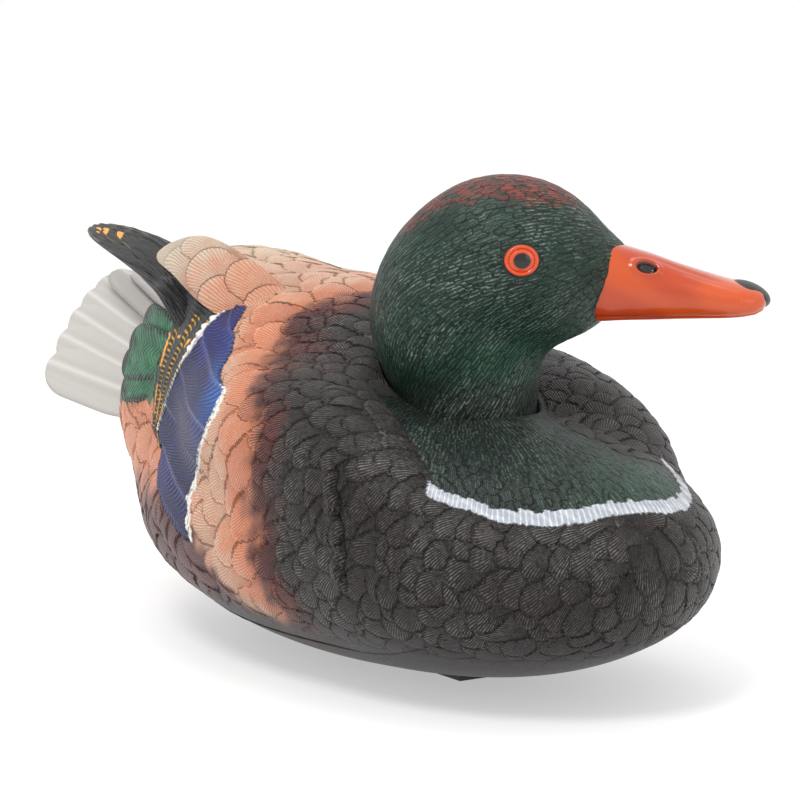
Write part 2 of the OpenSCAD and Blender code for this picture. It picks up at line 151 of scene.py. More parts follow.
def body_form(p):
    """The hull as one solid form: breast, hull, rump, back, folded wings and shoulders."""
    breast = ellipsoid(p, (52, 0, 39), (57, 54, 28))
    d = smooth_min(breast, ellipsoid(p, (-2, 0, 39.5), (113, 63.5, 40)), 14)
    d = smooth_min(d, ellipsoid(p, (-84, 0, 62), (49, 43, 33)), 14)
    d = smooth_min(d, ellipsoid(p, (-40, 0, 74.5), (74, 48, 33), -6.5), 16)
    d = smooth_min(d, ellipsoid(p, (-82, 0, 101), (27, 22, 10), -12), 9)
    d = smooth_min(d, ellipsoid(p, (-86, 16, 95.5), (33, 12, 8), -14), 6)
    d = smooth_min(d, ellipsoid(p, (-72, -22, 101.5), (25, 14, 11), -14), 6)
    d = smooth_min(d, column(p, (54, 0, 43), (NECK_X, 0, 50), 25, 22), 10)
    either_side = np.stack([p[:, 0], np.abs(p[:, 1]), p[:, 2]], 1)
    d = smooth_min(d, ellipsoid(either_side, (8, 38, 64), (60, 26, 24), -9), 7)
    return smooth_max(d, -p[:, 2], 2)


def body_field(p):
    """The body with the well that the neck turns in."""
    r = np.hypot(p[:, 0] - NECK_X, p[:, 1])
    well = np.maximum(r - np.interp(p[:, 2], WELL_Z, WELL_R), SEAT_Z - p[:, 2])
    return smooth_max(body_form(p), -well, 0.8)


def seam_z(x):
    """The height of the seam between the upper shell and the pan."""
    return 12 + 28 * (np.maximum(0, x - 30) / 80) ** 2 + 52 * (np.maximum(0, -x - 30) / 100) ** 2


def gradient(field, p, e=0.05):
    """The field's slope at points, by steps of e mm."""
    g = [field(p + e * a) - field(p - e * a) for a in np.eye(3)]
    return np.stack(g, 1) / (2 * e)


# ---------------------------------------------------------------- skins: even quads over a zero surface

CORNERS = np.array([(i, j, k) for i in (0, 1) for j in (0, 1) for k in (0, 1)])
EDGES = [(a, b) for a in range(8) for b in range(a + 1, 8) if np.abs(CORNERS[a] - CORNERS[b]).sum() == 1]


GRID_SIDE = 8192                       # more cells than any grid here has on a side


def grid_key(g):
    """One whole number for each cell of a grid."""
    return (g[:, 0].astype(np.int64) * GRID_SIDE + g[:, 1]) * GRID_SIDE + g[:, 2]


def skin_of(field, lo, hi, cell):
    """Points and quads of the zero surface, with about one point in each cell it passes through."""
    lo, step = np.asarray(lo, float), 8
    count = np.ceil((np.asarray(hi) - lo) / (cell * step)).astype(int)
    g = np.stack(np.meshgrid(*[np.arange(n) for n in count], indexing="ij"), -1).reshape(-1, 3)
    while True:
        g = g[np.abs(field(lo + (g + 0.5) * cell * step)) < 1.15 * cell * step]
        if step == 1:
            break
        g = (g[:, None] * 2 + CORNERS).reshape(-1, 3)
        step //= 2
    corners = (g[:, None] + CORNERS).reshape(-1, 3)
    _, first, back = np.unique(grid_key(corners), return_index=True, return_inverse=True)
    values = field(lo + corners[first] * cell)[back].reshape(-1, 8)
    inside = values < 0
    crossed = inside.any(1) & ~inside.all(1)
    g, values, inside = g[crossed], values[crossed], inside[crossed]
    order = np.argsort(grid_key(g))
    g, values, inside = g[order], values[order], inside[order]
    total, hits = np.zeros((len(g), 3)), np.zeros(len(g))
    for a, b in EDGES:
        cut = inside[:, a] != inside[:, b]
        t = values[cut, a] / (values[cut, a] - values[cut, b])
        total[cut] += CORNERS[a] + t[:, None] * (CORNERS[b] - CORNERS[a])
        hits[cut] += 1
    p = lo + (g + total / hits[:, None]) * cell
    keys = grid_key(g)
    quads = []
    for axis, corner in ((0, 4), (1, 2), (2, 1)):
        b, c = [np.eye(3, dtype=int)[(axis + k) % 3] for k in (1, 2)]
        cut = (inside[:, 0] != inside[:, corner]) & (g.min(1) > 0)
        here = np.flatnonzero(cut)
        ring = [g[here], g[here] - b, g[here] - b - c, g[here] - c]
        ring = np.stack([np.clip(np.searchsorted(keys, grid_key(r)), 0, len(keys) - 1) for r in ring], 1)
        flip = ~inside[here, 0]
        ring[flip] = ring[flip][:, ::-1]
        quads.append(ring)
    quads = np.concatenate(quads)
    for _ in range(2):
        n = gradient(field, p)
        size = np.maximum((n * n).sum(1), 0.2)
        p = p - np.clip(field(p) / size, -cell, cell)[:, None] * n
    return p, quads


def relax(p, quads, field, rounds=3):
    """Evens out the points along the surface."""
    for _ in range(rounds):
        total, hits = np.zeros_like(p), np.zeros(len(p))
        for k in range(4):
            np.add.at(total, quads[:, k], p[quads[:, (k + 1) % 4]] + p[quads[:, (k + 3) % 4]])
            np.add.at(hits, quads[:, k], 2)
        used = hits > 0
        p[used] += 0.5 * (total[used] / hits[used, None] - p[used])
        n = gradient(field, p)
        p = p - (field(p) / np.maximum((n * n).sum(1), 0.2))[:, None] * n
    return p


# ---------------------------------------------------------------- feathers stamped on a skin

class Cells:
    """Points sorted into cubic cells, so that those near a place are found quickly."""

    def __init__(self, p, cell):
        self.cell, self.low = cell, p.min(0) - 1
        key = grid_key(np.floor((p - self.low) / cell).astype(int))
        self.order = np.argsort(key)
        self.keys = key[self.order]

    def near(self, c, r):
        """The points in the cells within r of c."""
        a = np.maximum(np.floor((c - r - self.low) / self.cell), 0).astype(int)
        b = np.floor((c + r - self.low) / self.cell).astype(int)
        ij = np.meshgrid(np.arange(a[0], b[0] + 1), np.arange(a[1], b[1] + 1), indexing="ij")
        base = (ij[0].ravel() * GRID_SIDE + ij[1].ravel()) * GRID_SIDE
        start = np.searchsorted(self.keys, base + a[2])
        stop = np.searchsorted(self.keys, base + b[2] + 1)
        spans = [self.order[i:j] for i, j in zip(start, stop) if j > i]
        return np.concatenate(spans) if spans else np.zeros(0, int)


class Skin:
    """A skin's points, and what feathers leave on them."""

    def __init__(self, p, quads, normal):
        self.p, self.quads, self.n = p, quads, normal
        size = len(p)
        self.height = np.zeros(size)
        self.phase = np.zeros(size)          # barbs, in turns
        self.barb = np.zeros(size)           # how strongly they show
        self.edge = np.full(size, 9.0)       # mm inside the top feather's outline
        self.along = np.zeros(size)          # 0 at the feather's root, 1 at its tip
        self.across = np.zeros(size)         # mm from its quill
        self.lot = np.zeros((size, 3))       # random numbers of its own
        self.cells = Cells(p, 5.0)

    def scatter(self, where, spacing):
        """Evenly spread points of the skin, no two of them closer than spacing, which may vary."""
        pool = rng.permutation(np.flatnonzero(where))[:60000]
        q = self.p[pool]
        cells = Cells(q, 4.0)
        gap = np.broadcast_to(spacing, len(self.p))[pool]
        free, chosen = np.ones(len(pool), bool), []
        for i in range(len(pool)):
            if free[i]:
                chosen.append(pool[i])
                close = cells.near(q[i], gap[i])
                free[close[((q[close] - q[i]) ** 2).sum(1) < gap[i] ** 2]] = False
        return np.array(chosen)

    def frame_at(self, i, flow):
        """Along the flow, across it and out of the skin, at point i."""
        n = self.n[i]
        d = flow - (flow @ n) * n
        d = d / max(np.linalg.norm(d), 1e-6)
        return d, np.cross(n, d), n

    def local(self, i, flow, reach):
        """The points near point i, and how far along the flow and across it they lie."""
        d, b, n = self.frame_at(i, flow)
        near = self.cells.near(self.p[i], reach)
        q = self.p[near] - self.p[i]
        keep = np.abs(q @ n) < 0.5 * reach
        near, q = near[keep], q[keep]
        return near, q @ d, q @ b

    def scale_feather(self, i, flow, length, half, rise, pitch, barb, dome, soft):
        """A round-ended feather whose root is at point i. Its barbs fan out from behind its root."""
        near, s, t = self.local(i, flow, length * 1.15)
        lot = rng.random(3)
        bend = 0.12 * (lot[0] - 0.5)
        t = t + bend * s
        waist = 0.4 * length
        r = np.hypot(np.maximum(s - waist, 0) / (length - waist), t / half)
        edge = (1 - r) * min(half, length - waist)
        inside = (edge > 0) & (s > -0.25 * length)
        k, s, t, edge = near[inside], s[inside], t[inside], edge[inside]
        u = np.clip(s / length, 0, 1)
        lip = np.clip(edge / soft, 0, 1) ** 0.7
        ridge = 0.16 * np.exp(-(t / 0.6) ** 2) * (1 - u)
        self.height[k] = rise * (0.25 + 0.75 * u) * lip + ridge + dome * (1 - (t / half) ** 2)
        fan = np.arctan2(t, s + 0.7 * length)
        self.phase[k] = fan * (1.7 * length) / pitch + lot[1] + 0.12 * np.sin(0.9 * s + 6 * lot[2])
        self.barb[k] = barb * ramp(edge, 0.1, 0.6)
        self.edge[k], self.along[k], self.across[k], self.lot[k] = edge, u, t, lot

    def hair(self, i, flow, length, half, rise):
        """A short raised tuft of hair-like barbs."""
        near, s, t = self.local(i, flow, length)
        lot = rng.random(3)
        t = t + 0.06 * (lot[0] - 0.5) * s * s
        r = np.hypot(s / length * 2, t / half)
        h = rise * (0.6 + 0.6 * lot[1]) * np.clip(1 - r * r, 0, 1) ** 0.7
        more = h > self.height[near]
        k = near[more]
        self.height[k], self.along[k], self.across[k], self.lot[k] = h[more], 0.5, t[more], lot
        self.phase[k] = t[more] / HAIR_PITCH + lot[1] * 7
        self.barb[k] = 0.6 + 0.4 * lot[2]


def mesh_of(name, p, faces, paint=None, dry=None, barbs=None, smooth=True):
    """A mesh object from points in millimetres. faces is an array of quads, or a list of arrays.

    What painted() reads is stored on its points: the paint, the dry brush's colour, and each point's
    barb phase, how deep its barbs are and how much paint the dry brush leaves."""
    faces = [faces] if isinstance(faces, np.ndarray) else list(faces)
    loops = np.concatenate([f.ravel() for f in faces])
    sizes = np.concatenate([np.full(len(f), f.shape[1]) for f in faces])
    m = bpy.data.meshes.new(name)
    m.vertices.add(len(p))
    m.vertices.foreach_set("co", (p * MM).astype(np.float32).ravel())
    m.loops.add(len(loops))
    m.loops.foreach_set("vertex_index", loops.astype(np.int32))
    m.polygons.add(len(sizes))
    m.polygons.foreach_set("loop_start", np.concatenate([[0], np.cumsum(sizes)[:-1]]).astype(np.int32))
    m.update(calc_edges=True)
    m.validate()
    m.polygons.foreach_set("use_smooth", np.full(len(m.polygons), smooth))
    for title, colour in (("paint", paint), ("dry", dry)):
        if colour is not None:
            rgba = np.ones((len(p), 4), np.float32)
            rgba[:, :3] = colour
            m.attributes.new(title, "FLOAT_COLOR", "POINT").data.foreach_set("color", rgba.ravel())
    if barbs is not None:
        values = np.asarray(barbs, np.float32).ravel()
        m.attributes.new("barbs", "FLOAT_VECTOR", "POINT").data.foreach_set("vector", values)
    o = bpy.data.objects.new(name, m)
    bpy.context.scene.collection.objects.link(o)
    return o


def ring_quads(rings, turns):
    """The quads between rings of points, each with as many points as turns."""
    i, j = np.meshgrid(np.arange(rings - 1), np.arange(turns), indexing="ij")
    i, j = i.ravel(), j.ravel()
    k = (j + 1) % turns
    return np.stack([i * turns + j, i * turns + k, (i + 1) * turns + k, (i + 1) * turns + j], 1)


def from_head(q):
    """From the head's frame to the part's, with the head turned as at rest."""
    c, s = math.cos(HEAD_TURN), math.sin(HEAD_TURN)
    return np.stack([NECK_X + q[:, 0] * c - q[:, 1] * s, q[:, 0] * s + q[:, 1] * c, q[:, 2]], 1)


# ---------------------------------------------------------------- materials

def nodes_of(name):
    """A new material with only a Principled shader, and its tree."""
    m = bpy.data.materials.new(name)
    m.use_nodes = True
    t = m.node_tree
    t.nodes.clear()
    out = t.nodes.new("ShaderNodeOutputMaterial")
    shader = t.nodes.new("ShaderNodeBsdfPrincipled")
    t.links.new(shader.outputs[0], out.inputs[0])
    return m, t, shader


def add(t, kind, inputs=(), **props):
    """A node whose inputs are linked or set."""
    n = t.nodes.new(kind)
    for key, value in props.items():
        setattr(n, key, value)
    for key, value in inputs:
        if isinstance(value, bpy.types.NodeSocket):
            t.links.new(value, n.inputs[key])
        else:
            n.inputs[key].default_value = value
    return n


def maths(t, op, a, b=0.0, clamp=False):
    return add(t, "ShaderNodeMath", [(0, a), (1, b)], operation=op, use_clamp=clamp).outputs[0]


def scaled(t, value, gain, shift=0.0, clamp=False):
    """value * gain + shift"""
    return add(t, "ShaderNodeMath", [(0, value), (1, gain), (2, shift)],
               operation="MULTIPLY_ADD", use_clamp=clamp).outputs[0]


def noise(t, scale, detail, rough):
    place = add(t, "ShaderNodeTexCoord").outputs["Object"]
    return add(t, "ShaderNodeTexNoise", [("Vector", place), ("Scale", scale), ("Detail", detail),
                                         ("Roughness", rough)]).outputs[0]


def blend(t, a, b, factor):
    """A node that mixes two colours."""
    n = add(t, "ShaderNodeMix", data_type="RGBA")
    for key, value in ((0, factor), (6, a), (7, b)):
        if isinstance(value, bpy.types.NodeSocket):
            t.links.new(value, n.inputs[key])
        else:
            n.inputs[key].default_value = value
    return n.outputs[2]


def painted(name, rough=0.45, barb_depth=0.25, grain=0.06, coat=0.0, grit=0.10, gloss=0.32):
    """Moulded feathers under paint: the paint and dry-brush colours and the barbs come from the mesh."""
    m, t, shader = nodes_of(name)
    paint = add(t, "ShaderNodeAttribute", attribute_name="paint").outputs["Color"]
    dry = add(t, "ShaderNodeAttribute", attribute_name="dry").outputs["Color"]
    barbs = add(t, "ShaderNodeAttribute", attribute_name="barbs").outputs["Vector"]
    part = add(t, "ShaderNodeSeparateXYZ", [(0, barbs)]).outputs
    patchy = noise(t, 900, 4, 0.6)
    fine = noise(t, 2600, 2, 0.6)
    turns = maths(t, "ADD", part[0], scaled(t, patchy, 0.4))
    wave = maths(t, "SINE", maths(t, "MULTIPLY", turns, 2 * math.pi))
    up = scaled(t, wave, 0.5, 0.5)
    crest = maths(t, "POWER", up, 1.6)
    barb_h = maths(t, "MULTIPLY", crest, part[1])
    # the dry brush touches only the crests, and only where the brush had paint left
    touch = scaled(t, patchy, 3.2, -1.1, clamp=True)
    top = scaled(t, maths(t, "POWER", crest, 1.6), 0.95, 0.05)
    amount = maths(t, "MULTIPLY", maths(t, "MULTIPLY", touch, top), part[2], clamp=True)
    colour = blend(t, paint, dry, amount)
    # the barbs' valleys are painted darker still, as painted shade in the grooves between them
    valley_shade = maths(t, "MULTIPLY", part[1], 0.6)
    valley_shade = maths(t, "MULTIPLY", maths(t, "SUBTRACT", 1.0, up), valley_shade, clamp=True)
    dark = blend(t, colour, (0.0, 0.0, 0.0, 1), maths(t, "MULTIPLY", valley_shade, 0.7))
    mottled = scaled(t, fine, grit * 2, 1 - grit)
    final = add(t, "ShaderNodeVectorMath", [(0, dark)], operation="SCALE")
    t.links.new(mottled, final.inputs["Scale"])
    t.links.new(final.outputs[0], shader.inputs["Base Color"])
    t.links.new(scaled(t, patchy, 0.25, rough - 0.12), shader.inputs["Roughness"])
    shader.inputs["Specular IOR Level"].default_value = gloss
    if coat:
        shader.inputs["Coat Weight"].default_value = coat
        shader.inputs["Coat Roughness"].default_value = 0.12
    height = maths(t, "MULTIPLY", barb_h, barb_depth)
    height = maths(t, "ADD", height, maths(t, "MULTIPLY", fine, grain))
    bump = add(t, "ShaderNodeBump", [("Height", height), ("Strength", 1.0), ("Distance", 1.0 * MM)])
    t.links.new(bump.outputs[0], shader.inputs["Normal"])
    return m


def plain(name, colour, rough, metal=0.0, grain=0.03, scale=1500):
    """One slightly mottled colour."""
    m, t, shader = nodes_of(name)
    spots = noise(t, scale, 4, 0.6)
    a = (*[float(c) for c in colour], 1)
    b = (*[float(c) * 0.72 for c in colour], 1)
    t.links.new(blend(t, a, b, spots), shader.inputs["Base Color"])
    t.links.new(scaled(t, spots, 0.2, rough - 0.1), shader.inputs["Roughness"])
    shader.inputs["Metallic"].default_value = metal
    bump = add(t, "ShaderNodeBump", [("Height", spots), ("Strength", 0.5), ("Distance", grain * MM)])
    t.links.new(bump.outputs[0], shader.inputs["Normal"])
    return m


# ---------------------------------------------------------------- the body's regions, on either side

def dark_edge(z):
    """Where the dark breast ends and the salmon wing coverts begin."""
    return np.interp(z, [20, 26, 40, 55, 68, 78, 87, 93, 99, 106], [30, 26, 19, 19, 22, 16, 2, -12, -17, -12])


def patch_rear(z):
    """The blue wing patch's rear edge."""
    return np.interp(z, [36, 42, 51, 62, 75, 87, 100], [-22, -40, -57, -66, -57, -51, -49])


def patch_front(z):
    return np.interp(z, [36, 48, 56, 67, 75, 81, 85, 94, 100], [-19, -23, -22, -12, -7, -9, -21, -36, -41])


def collar_reach(angle):
    """The white collar's distance from the neck axis, by angle from straight ahead."""
    return np.interp(np.abs(angle), [0, 10, 18, 27, 33, 43, 60], [74.5, 75, 73.5, 69.3, 64.4, 58, 48])


def wander(p, scale, seed):
    """Smooth values about 0 that vary over the given distance in mm."""
    r = np.random.default_rng(seed)
    total = np.zeros(len(p))
    for _ in range(7):
        k = r.normal(size=3) * 2.0 / scale
        total += np.sin(p @ k * 1.4 + r.random() * 6.28)
    return total / 3.0


def flow_of(p, n):
    """The way feathers lie: back along the hull, and downwards on the breast."""
    front = ramp(p[:, 0], -20, 80)
    f = np.stack([-1 + 0.15 * front, 0.35 * np.sign(p[:, 1]) * front, -0.18 - 0.72 * front], 1)
    top = ramp(p[:, 2], 92, 104) * (1 - front)
    f[:, 2] += 0.3 * top
    return unit(f - (f * n).sum(1)[:, None] * n)


def in_chest(p):
    """Whether points are on the green chest, and their distance and angle from the neck's axis."""
    rho = np.hypot(p[:, 0] - NECK_X, p[:, 1])
    angle = np.degrees(np.arctan2(p[:, 1], p[:, 0] - NECK_X))
    side = 33 + (p[:, 0] - 35) * 0.14 - np.abs(p[:, 1])
    far = np.interp(rho, [25, 33, 54, 57, 60], [40, 20, 20, 34, 48])
    ahead = (p[:, 0] > 30) & (side > 0) & (angle < far) & (rho < collar_reach(angle))
    return (ahead | (rho < 23.5)) & (p[:, 2] > 52), rho, angle


class Body(Skin):
    """The hull's skin and its regions. Each method presses feathers into it or paints one part of it."""

    def __init__(self, p, quads):
        super().__init__(p, quads, unit(gradient(body_field, p)))
        _, y, z = p.T
        self.chest, self.rho, self.angle = in_chest(p)
        self.inner = (self.rho < np.interp(z, WELL_Z, WELL_R) + 0.3) & (z > SEAT_Z - 1)
        self.side = np.abs(y) > 12
        self.rear, self.front = patch_rear(z), patch_front(z)
        self.noise_1, self.noise_2, self.noise_3 = wander(p, 14, 1), wander(p, 6, 2), wander(p, 2.2, 3)

    def lay_scales(self):
        """Scale feathers, the rearmost first so that each lies over the one behind it."""
        x, _, z = self.p.T
        flow = flow_of(self.p, self.n)
        dark = (x > dark_edge(z)) & ~self.chest
        roots = self.scatter(~self.chest & ~self.inner & (z > 10), np.where(dark, 5.0, 7.4))
        turned = flow + 0.22 * rng.normal(size=flow.shape)
        order = np.argsort(-(-0.85 * x[roots] - 0.5 * z[roots] * ramp(x[roots], -20, 60)))
        for i in roots[order]:
            size = rng.uniform(0.85, 1.2)
            if dark[i]:
                self.scale_feather(i, turned[i], 9.6 * size, 4.3 * size, 0.62, 0.95, 1.5, 0.12, 0.9)
            else:
                self.scale_feather(i, turned[i], 16 * size, 6.6 * size, 0.30, 1.0, 0.75, 0.45, 2.6)
        low_fade = ramp(z, 13, 24)
        self.height *= low_fade
        self.barb *= low_fade

    def lay_chest(self):
        """Hair-like feathers over the chest, above the collar."""
        x, y, _ = self.p.T
        self.height[self.chest] = 0
        self.barb[self.chest] = 0
        self.edge[self.chest] = 9
        tufts = self.scatter(self.chest & ~self.inner, 2.0 * FINE)
        out = np.stack([x - NECK_X, y, np.zeros(len(x))], 1)
        out = unit(unit(out) + [0.0, 0, -0.5])
        for i in tufts:
            self.hair(i, out[i], 5.8, 1.6, 0.26)

    def press_patch(self):
        """The blue wing patch: long curved feathers, each edge running down and forwards."""
        x, _, z = self.p.T
        u = np.clip((x - self.rear) / np.maximum(self.front - self.rear, 1), -1, 2)
        self.ahead = u                       # 0 at the patch's rear edge, 1 at its front edge
        w = (z + 12 * np.clip(u, 0, 1) ** 0.8 - 47) / 11.5
        f = fraction(w)
        rim = np.minimum(np.minimum(u, 1 - u) * (self.front - self.rear), (z - PATCH_LOW) * 0.5)
        ridge = 0.25 + 0.75 * (1 - f) * np.clip(f * 9, 0, 1)
        self.in_patch = self.side & (u > 0) & (u < 1) & (z > PATCH_LOW) & (z < PATCH_TOP)
        k = self.in_patch
        self.height[k] = (ridge * np.clip(rim, 0, 1) + 0.15)[k]
        self.phase[k] = (z[k] - 0.25 * x[k] + 2.5 * np.sin(f[k] * 3)) / 1.15
        self.barb[k] = 1.5 * ramp(f[k], 0.02, 0.12)
        self.edge[k] = rim[k]
        self.along[k] = f[k]
        self.lot[k] = np.stack([np.sin(np.floor(w[k]) * 5.1) * 0.5 + 0.5] * 3, 1)

    def press_strip(self):
        """Narrow black feathers behind the patch, with ladders of yellow barbs."""
        x, _, z = self.p.T
        strip = np.interp(z, [56, 60, 71, 83, 95, 102], [1.5, 4, 10, 17, 28, 30])
        self.back = (self.rear - x) / np.maximum(strip, 1)
        self.in_strip = self.side & (self.back > 0) & (self.back < 1) & (z > 57) & (z < 103)
        k = self.in_strip
        g = self.back[k] * 3
        f = fraction(g)
        self.height[k] = 0.25 + 0.5 * np.clip(np.minimum(f, 1 - f) * 5, 0, 1)
        self.phase[k] = (z[k] + 0.3 * x[k]) / 1.5
        self.barb[k] = 1.1 * ramp(np.abs(f - 0.5), 0.08, 0.2)
        self.edge[k] = np.minimum(f, 1 - f) * strip[k] / 3
        self.along[k] = f
        self.lot[k, 0] = np.floor(g) / 3

    def press_wing_edge(self):
        """The folded wing's front edge: a crease with a rounded lip behind it."""
        x, y, z = self.p.T
        lip = np.interp(z, [30, 36, 44, 52, 58, 66, 71], [57, 55.6, 55, 51.6, 50.2, 47.6, 44])
        lip = x - lip - 0.5 * np.sin(z * 0.9)
        strength = ramp(z, 30, 38) * (1 - ramp(z, 62, 71)) * (np.abs(y) > 35)
        self.height += strength * (1.1 * np.exp(-((lip + 2.2) / 1.8) ** 2) - 1.3 * np.exp(-(lip / 0.8) ** 2))
        # how strongly the crease is painted dark in make_body, as painted shade inside it
        self.crease = strength * np.exp(-(lip / 1.1) ** 2)

    def paint_flanks(self):
        """The dark breast, the tan back, the salmon border and what lies behind the blue patch."""
        x, _, z = self.p.T
        noise_1, noise_2, lot = self.noise_1, self.noise_2, self.lot
        groove = 1 - ramp(self.edge, 0.05, 0.7)
        coal = mix(srgb(12, 8, 7), srgb(25, 17, 16), lot[:, 0])
        coal = mix(coal, srgb(50, 20, 22), 0.5 * groove * ramp(noise_1, -0.6, 0.6))
        coal_dry = mix(srgb(128, 116, 110), srgb(166, 160, 156), ramp(noise_1, -0.5, 0.7))
        tan = mix(srgb(200, 158, 132), srgb(214, 166, 138), lot[:, 1])
        salmon = mix(srgb(214, 134, 98), srgb(200, 118, 86), lot[:, 0])
        maroon = mix(srgb(88, 34, 32), srgb(66, 28, 28), lot[:, 2])
        behind = dark_edge(z) - x + 3 * noise_2              # mm behind the dark breast
        paint = mix(coal, maroon, ramp(behind, -12, 1))
        paint = mix(paint, salmon, ramp(behind, 1, 10))
        paint = mix(paint, tan, ramp(behind, 10, 24) * (0.75 + 0.25 * noise_2))
        dry = mix(coal_dry, srgb(176, 104, 86), ramp(behind, -12, 1))
        dry = mix(dry, srgb(240, 172, 134), ramp(behind, 0, 8))
        dry = mix(dry, srgb(242, 212, 184), ramp(behind, 14, 26))

        flank = mix(srgb(224, 144, 106), srgb(210, 126, 94), lot[:, 0])
        wine = mix(srgb(84, 40, 38), srgb(58, 28, 28), lot[:, 1])
        lower = mix(flank, wine, ramp(49 - z + 0.12 * (x + 60) + 3 * noise_2, -5, 8))
        lower_dry = mix(srgb(240, 184, 150), srgb(160, 96, 84), ramp(46 - z, -5, 8))
        border = -18 + 0.9 * np.maximum(41 - z, 0) + 2.5 * noise_2
        under = ramp(41 + noise_2 - z, -1.5, 1.5) * (1 - ramp(x - border, -3, 4))
        under = np.where((x < self.rear) & (z < 99), 1, under)
        return mix(paint, lower, under), mix(dry, lower_dry, under)

    def paint_rump(self, paint, dry):
        """Green behind the strip, and beige at the back's rear tip."""
        x, _, z = self.p.T
        green_low = 66 + 3.0 * np.abs(np.sin(x * 0.30)) + 0.12 * (x + 90)
        in_green = self.side & (self.back >= 1) & (z > green_low) & (z < 101) & (x < -50)
        emerald = mix(srgb(20, 74, 48), srgb(46, 112, 76), np.clip(0.5 + 0.5 * self.noise_2, 0, 1))
        emerald = mix(emerald, srgb(22, 34, 30), 0.85 * ramp(np.abs(self.across), 3.0, 5.0))
        paint[in_green] = emerald[in_green]
        dry[in_green] = srgb(110, 160, 128)
        beige = ramp(-x + 0.5 * (z - 100), 58, 92) * ramp(z, 93, 99)
        paint[:] = np.where((z > 96)[:, None], mix(paint, srgb(214, 190, 164), 0.8 * beige), paint)

    def paint_wing(self, paint, dry):
        """The strip of black feathers, the blue patch and the white lines on either side of it."""
        x, _, z = self.p.T
        noise_1, noise_3, lot = self.noise_1, self.noise_3, self.lot
        ink = mix(srgb(30, 32, 34), srgb(40, 42, 44), lot[:, 1])
        paint[self.in_strip], dry[self.in_strip] = ink[self.in_strip], srgb(74, 76, 78)
        from_middle = np.abs(self.along - 0.5)
        self.ladder = self.in_strip & (from_middle > 0.27) & (z < 96)
        dry[self.ladder] = srgb(214, 160, 52)
        streak = self.in_strip & (from_middle < 0.13) & (noise_1 > -0.1) & (z < 90)
        paint[streak] = srgb(226, 160, 40)

        k = self.in_patch
        blue = mix(srgb(18, 22, 74), srgb(28, 27, 80), lot[k, 0])
        blue = mix(blue, srgb(32, 42, 118), ramp(noise_1[k], -0.2, 0.8))
        bright = np.exp(-((z[k] - 79) / 9) ** 2) * ramp(self.ahead[k], 0.62, 0.98)
        blue = mix(blue, srgb(34, 104, 196), 0.75 * bright)
        f = self.along[k]
        paint[k] = mix(blue, srgb(104, 104, 154), 0.45 * np.exp(-(np.minimum(f, 1 - f) / 0.06) ** 2))
        dry[k] = mix(srgb(72, 76, 146), srgb(48, 114, 196), bright)

        white = srgb(226, 224, 216)
        from_rear, from_front = np.abs(x - self.rear + 0.3), np.abs(x - self.front - 0.3)
        strong = np.interp(z, [80, 85, 88], [0.35, 0.6, 1.5])
        line = self.side & (z > 62) & (z < 99) & (from_rear < strong * (0.9 + 0.4 * noise_3))
        line |= self.side & (z < 82) & (z > PATCH_LOW) & (from_front < 1.2 + 0.35 * noise_3)
        paint[line], dry[line] = white, white
        self.height[line] += 0.25
        self.barb[line] *= 0.3

    def paint_chest(self, paint, dry):
        """The green chest, and the white collar's dabs."""
        x, y, z = self.p.T
        rho, angle, chest = self.rho, self.angle, self.chest
        green = mix(srgb(10, 27, 22), srgb(15, 38, 30), self.lot[:, 0])
        # painted shade: the chest darkens towards the neck, round the well that the head stands in
        green = mix(green, srgb(24, 24, 20), 0.75 * (1 - ramp(rho, 22, 38)))
        glow = np.exp(-(((x - 92) / 16) ** 2 + ((y - 12) / 22) ** 2))
        green = mix(green, srgb(22, 72, 52), 0.5 * glow)
        paint[chest] = green[chest]
        dry[chest] = mix(srgb(126, 144, 132), srgb(112, 148, 126), glow)[chest]

        ring = (np.abs(angle) < COLLAR_SPREAD) & (z > 50) & (x > 60)
        dabs = angle * 0.56 + 0.1 * self.noise_2 + 0.12 * (rho - collar_reach(angle))
        dab = fraction(dabs)
        own = fraction(np.sin(np.floor(dabs) * 12.9898) * 43758.5)     # a random number for each dab
        length = 1.7 + 0.5 * own + 0.12 * self.noise_3
        off = rho - collar_reach(angle) + 0.6 * (own - 0.5)
        on = ring & (np.abs(off) < length)
        paint[on] = mix(srgb(176, 182, 190), srgb(202, 206, 212), ramp(self.noise_3[on], -0.5, 0.8))
        dry[on] = srgb(222, 226, 232)
        flat = 1 - ramp(np.abs(off), length, length + 1.0)
        self.height = np.where(ring, self.height * (1 - flat) + 0.3 * flat, self.height)
        self.height[on] += 0.3 * np.clip(1 - np.abs(dab[on] - 0.5) * 2, 0, 1)
        self.phase[on] = np.radians(angle[on]) * 70 / 1.5 + 0.1 * rho[on]
        self.barb[on] = 0.8


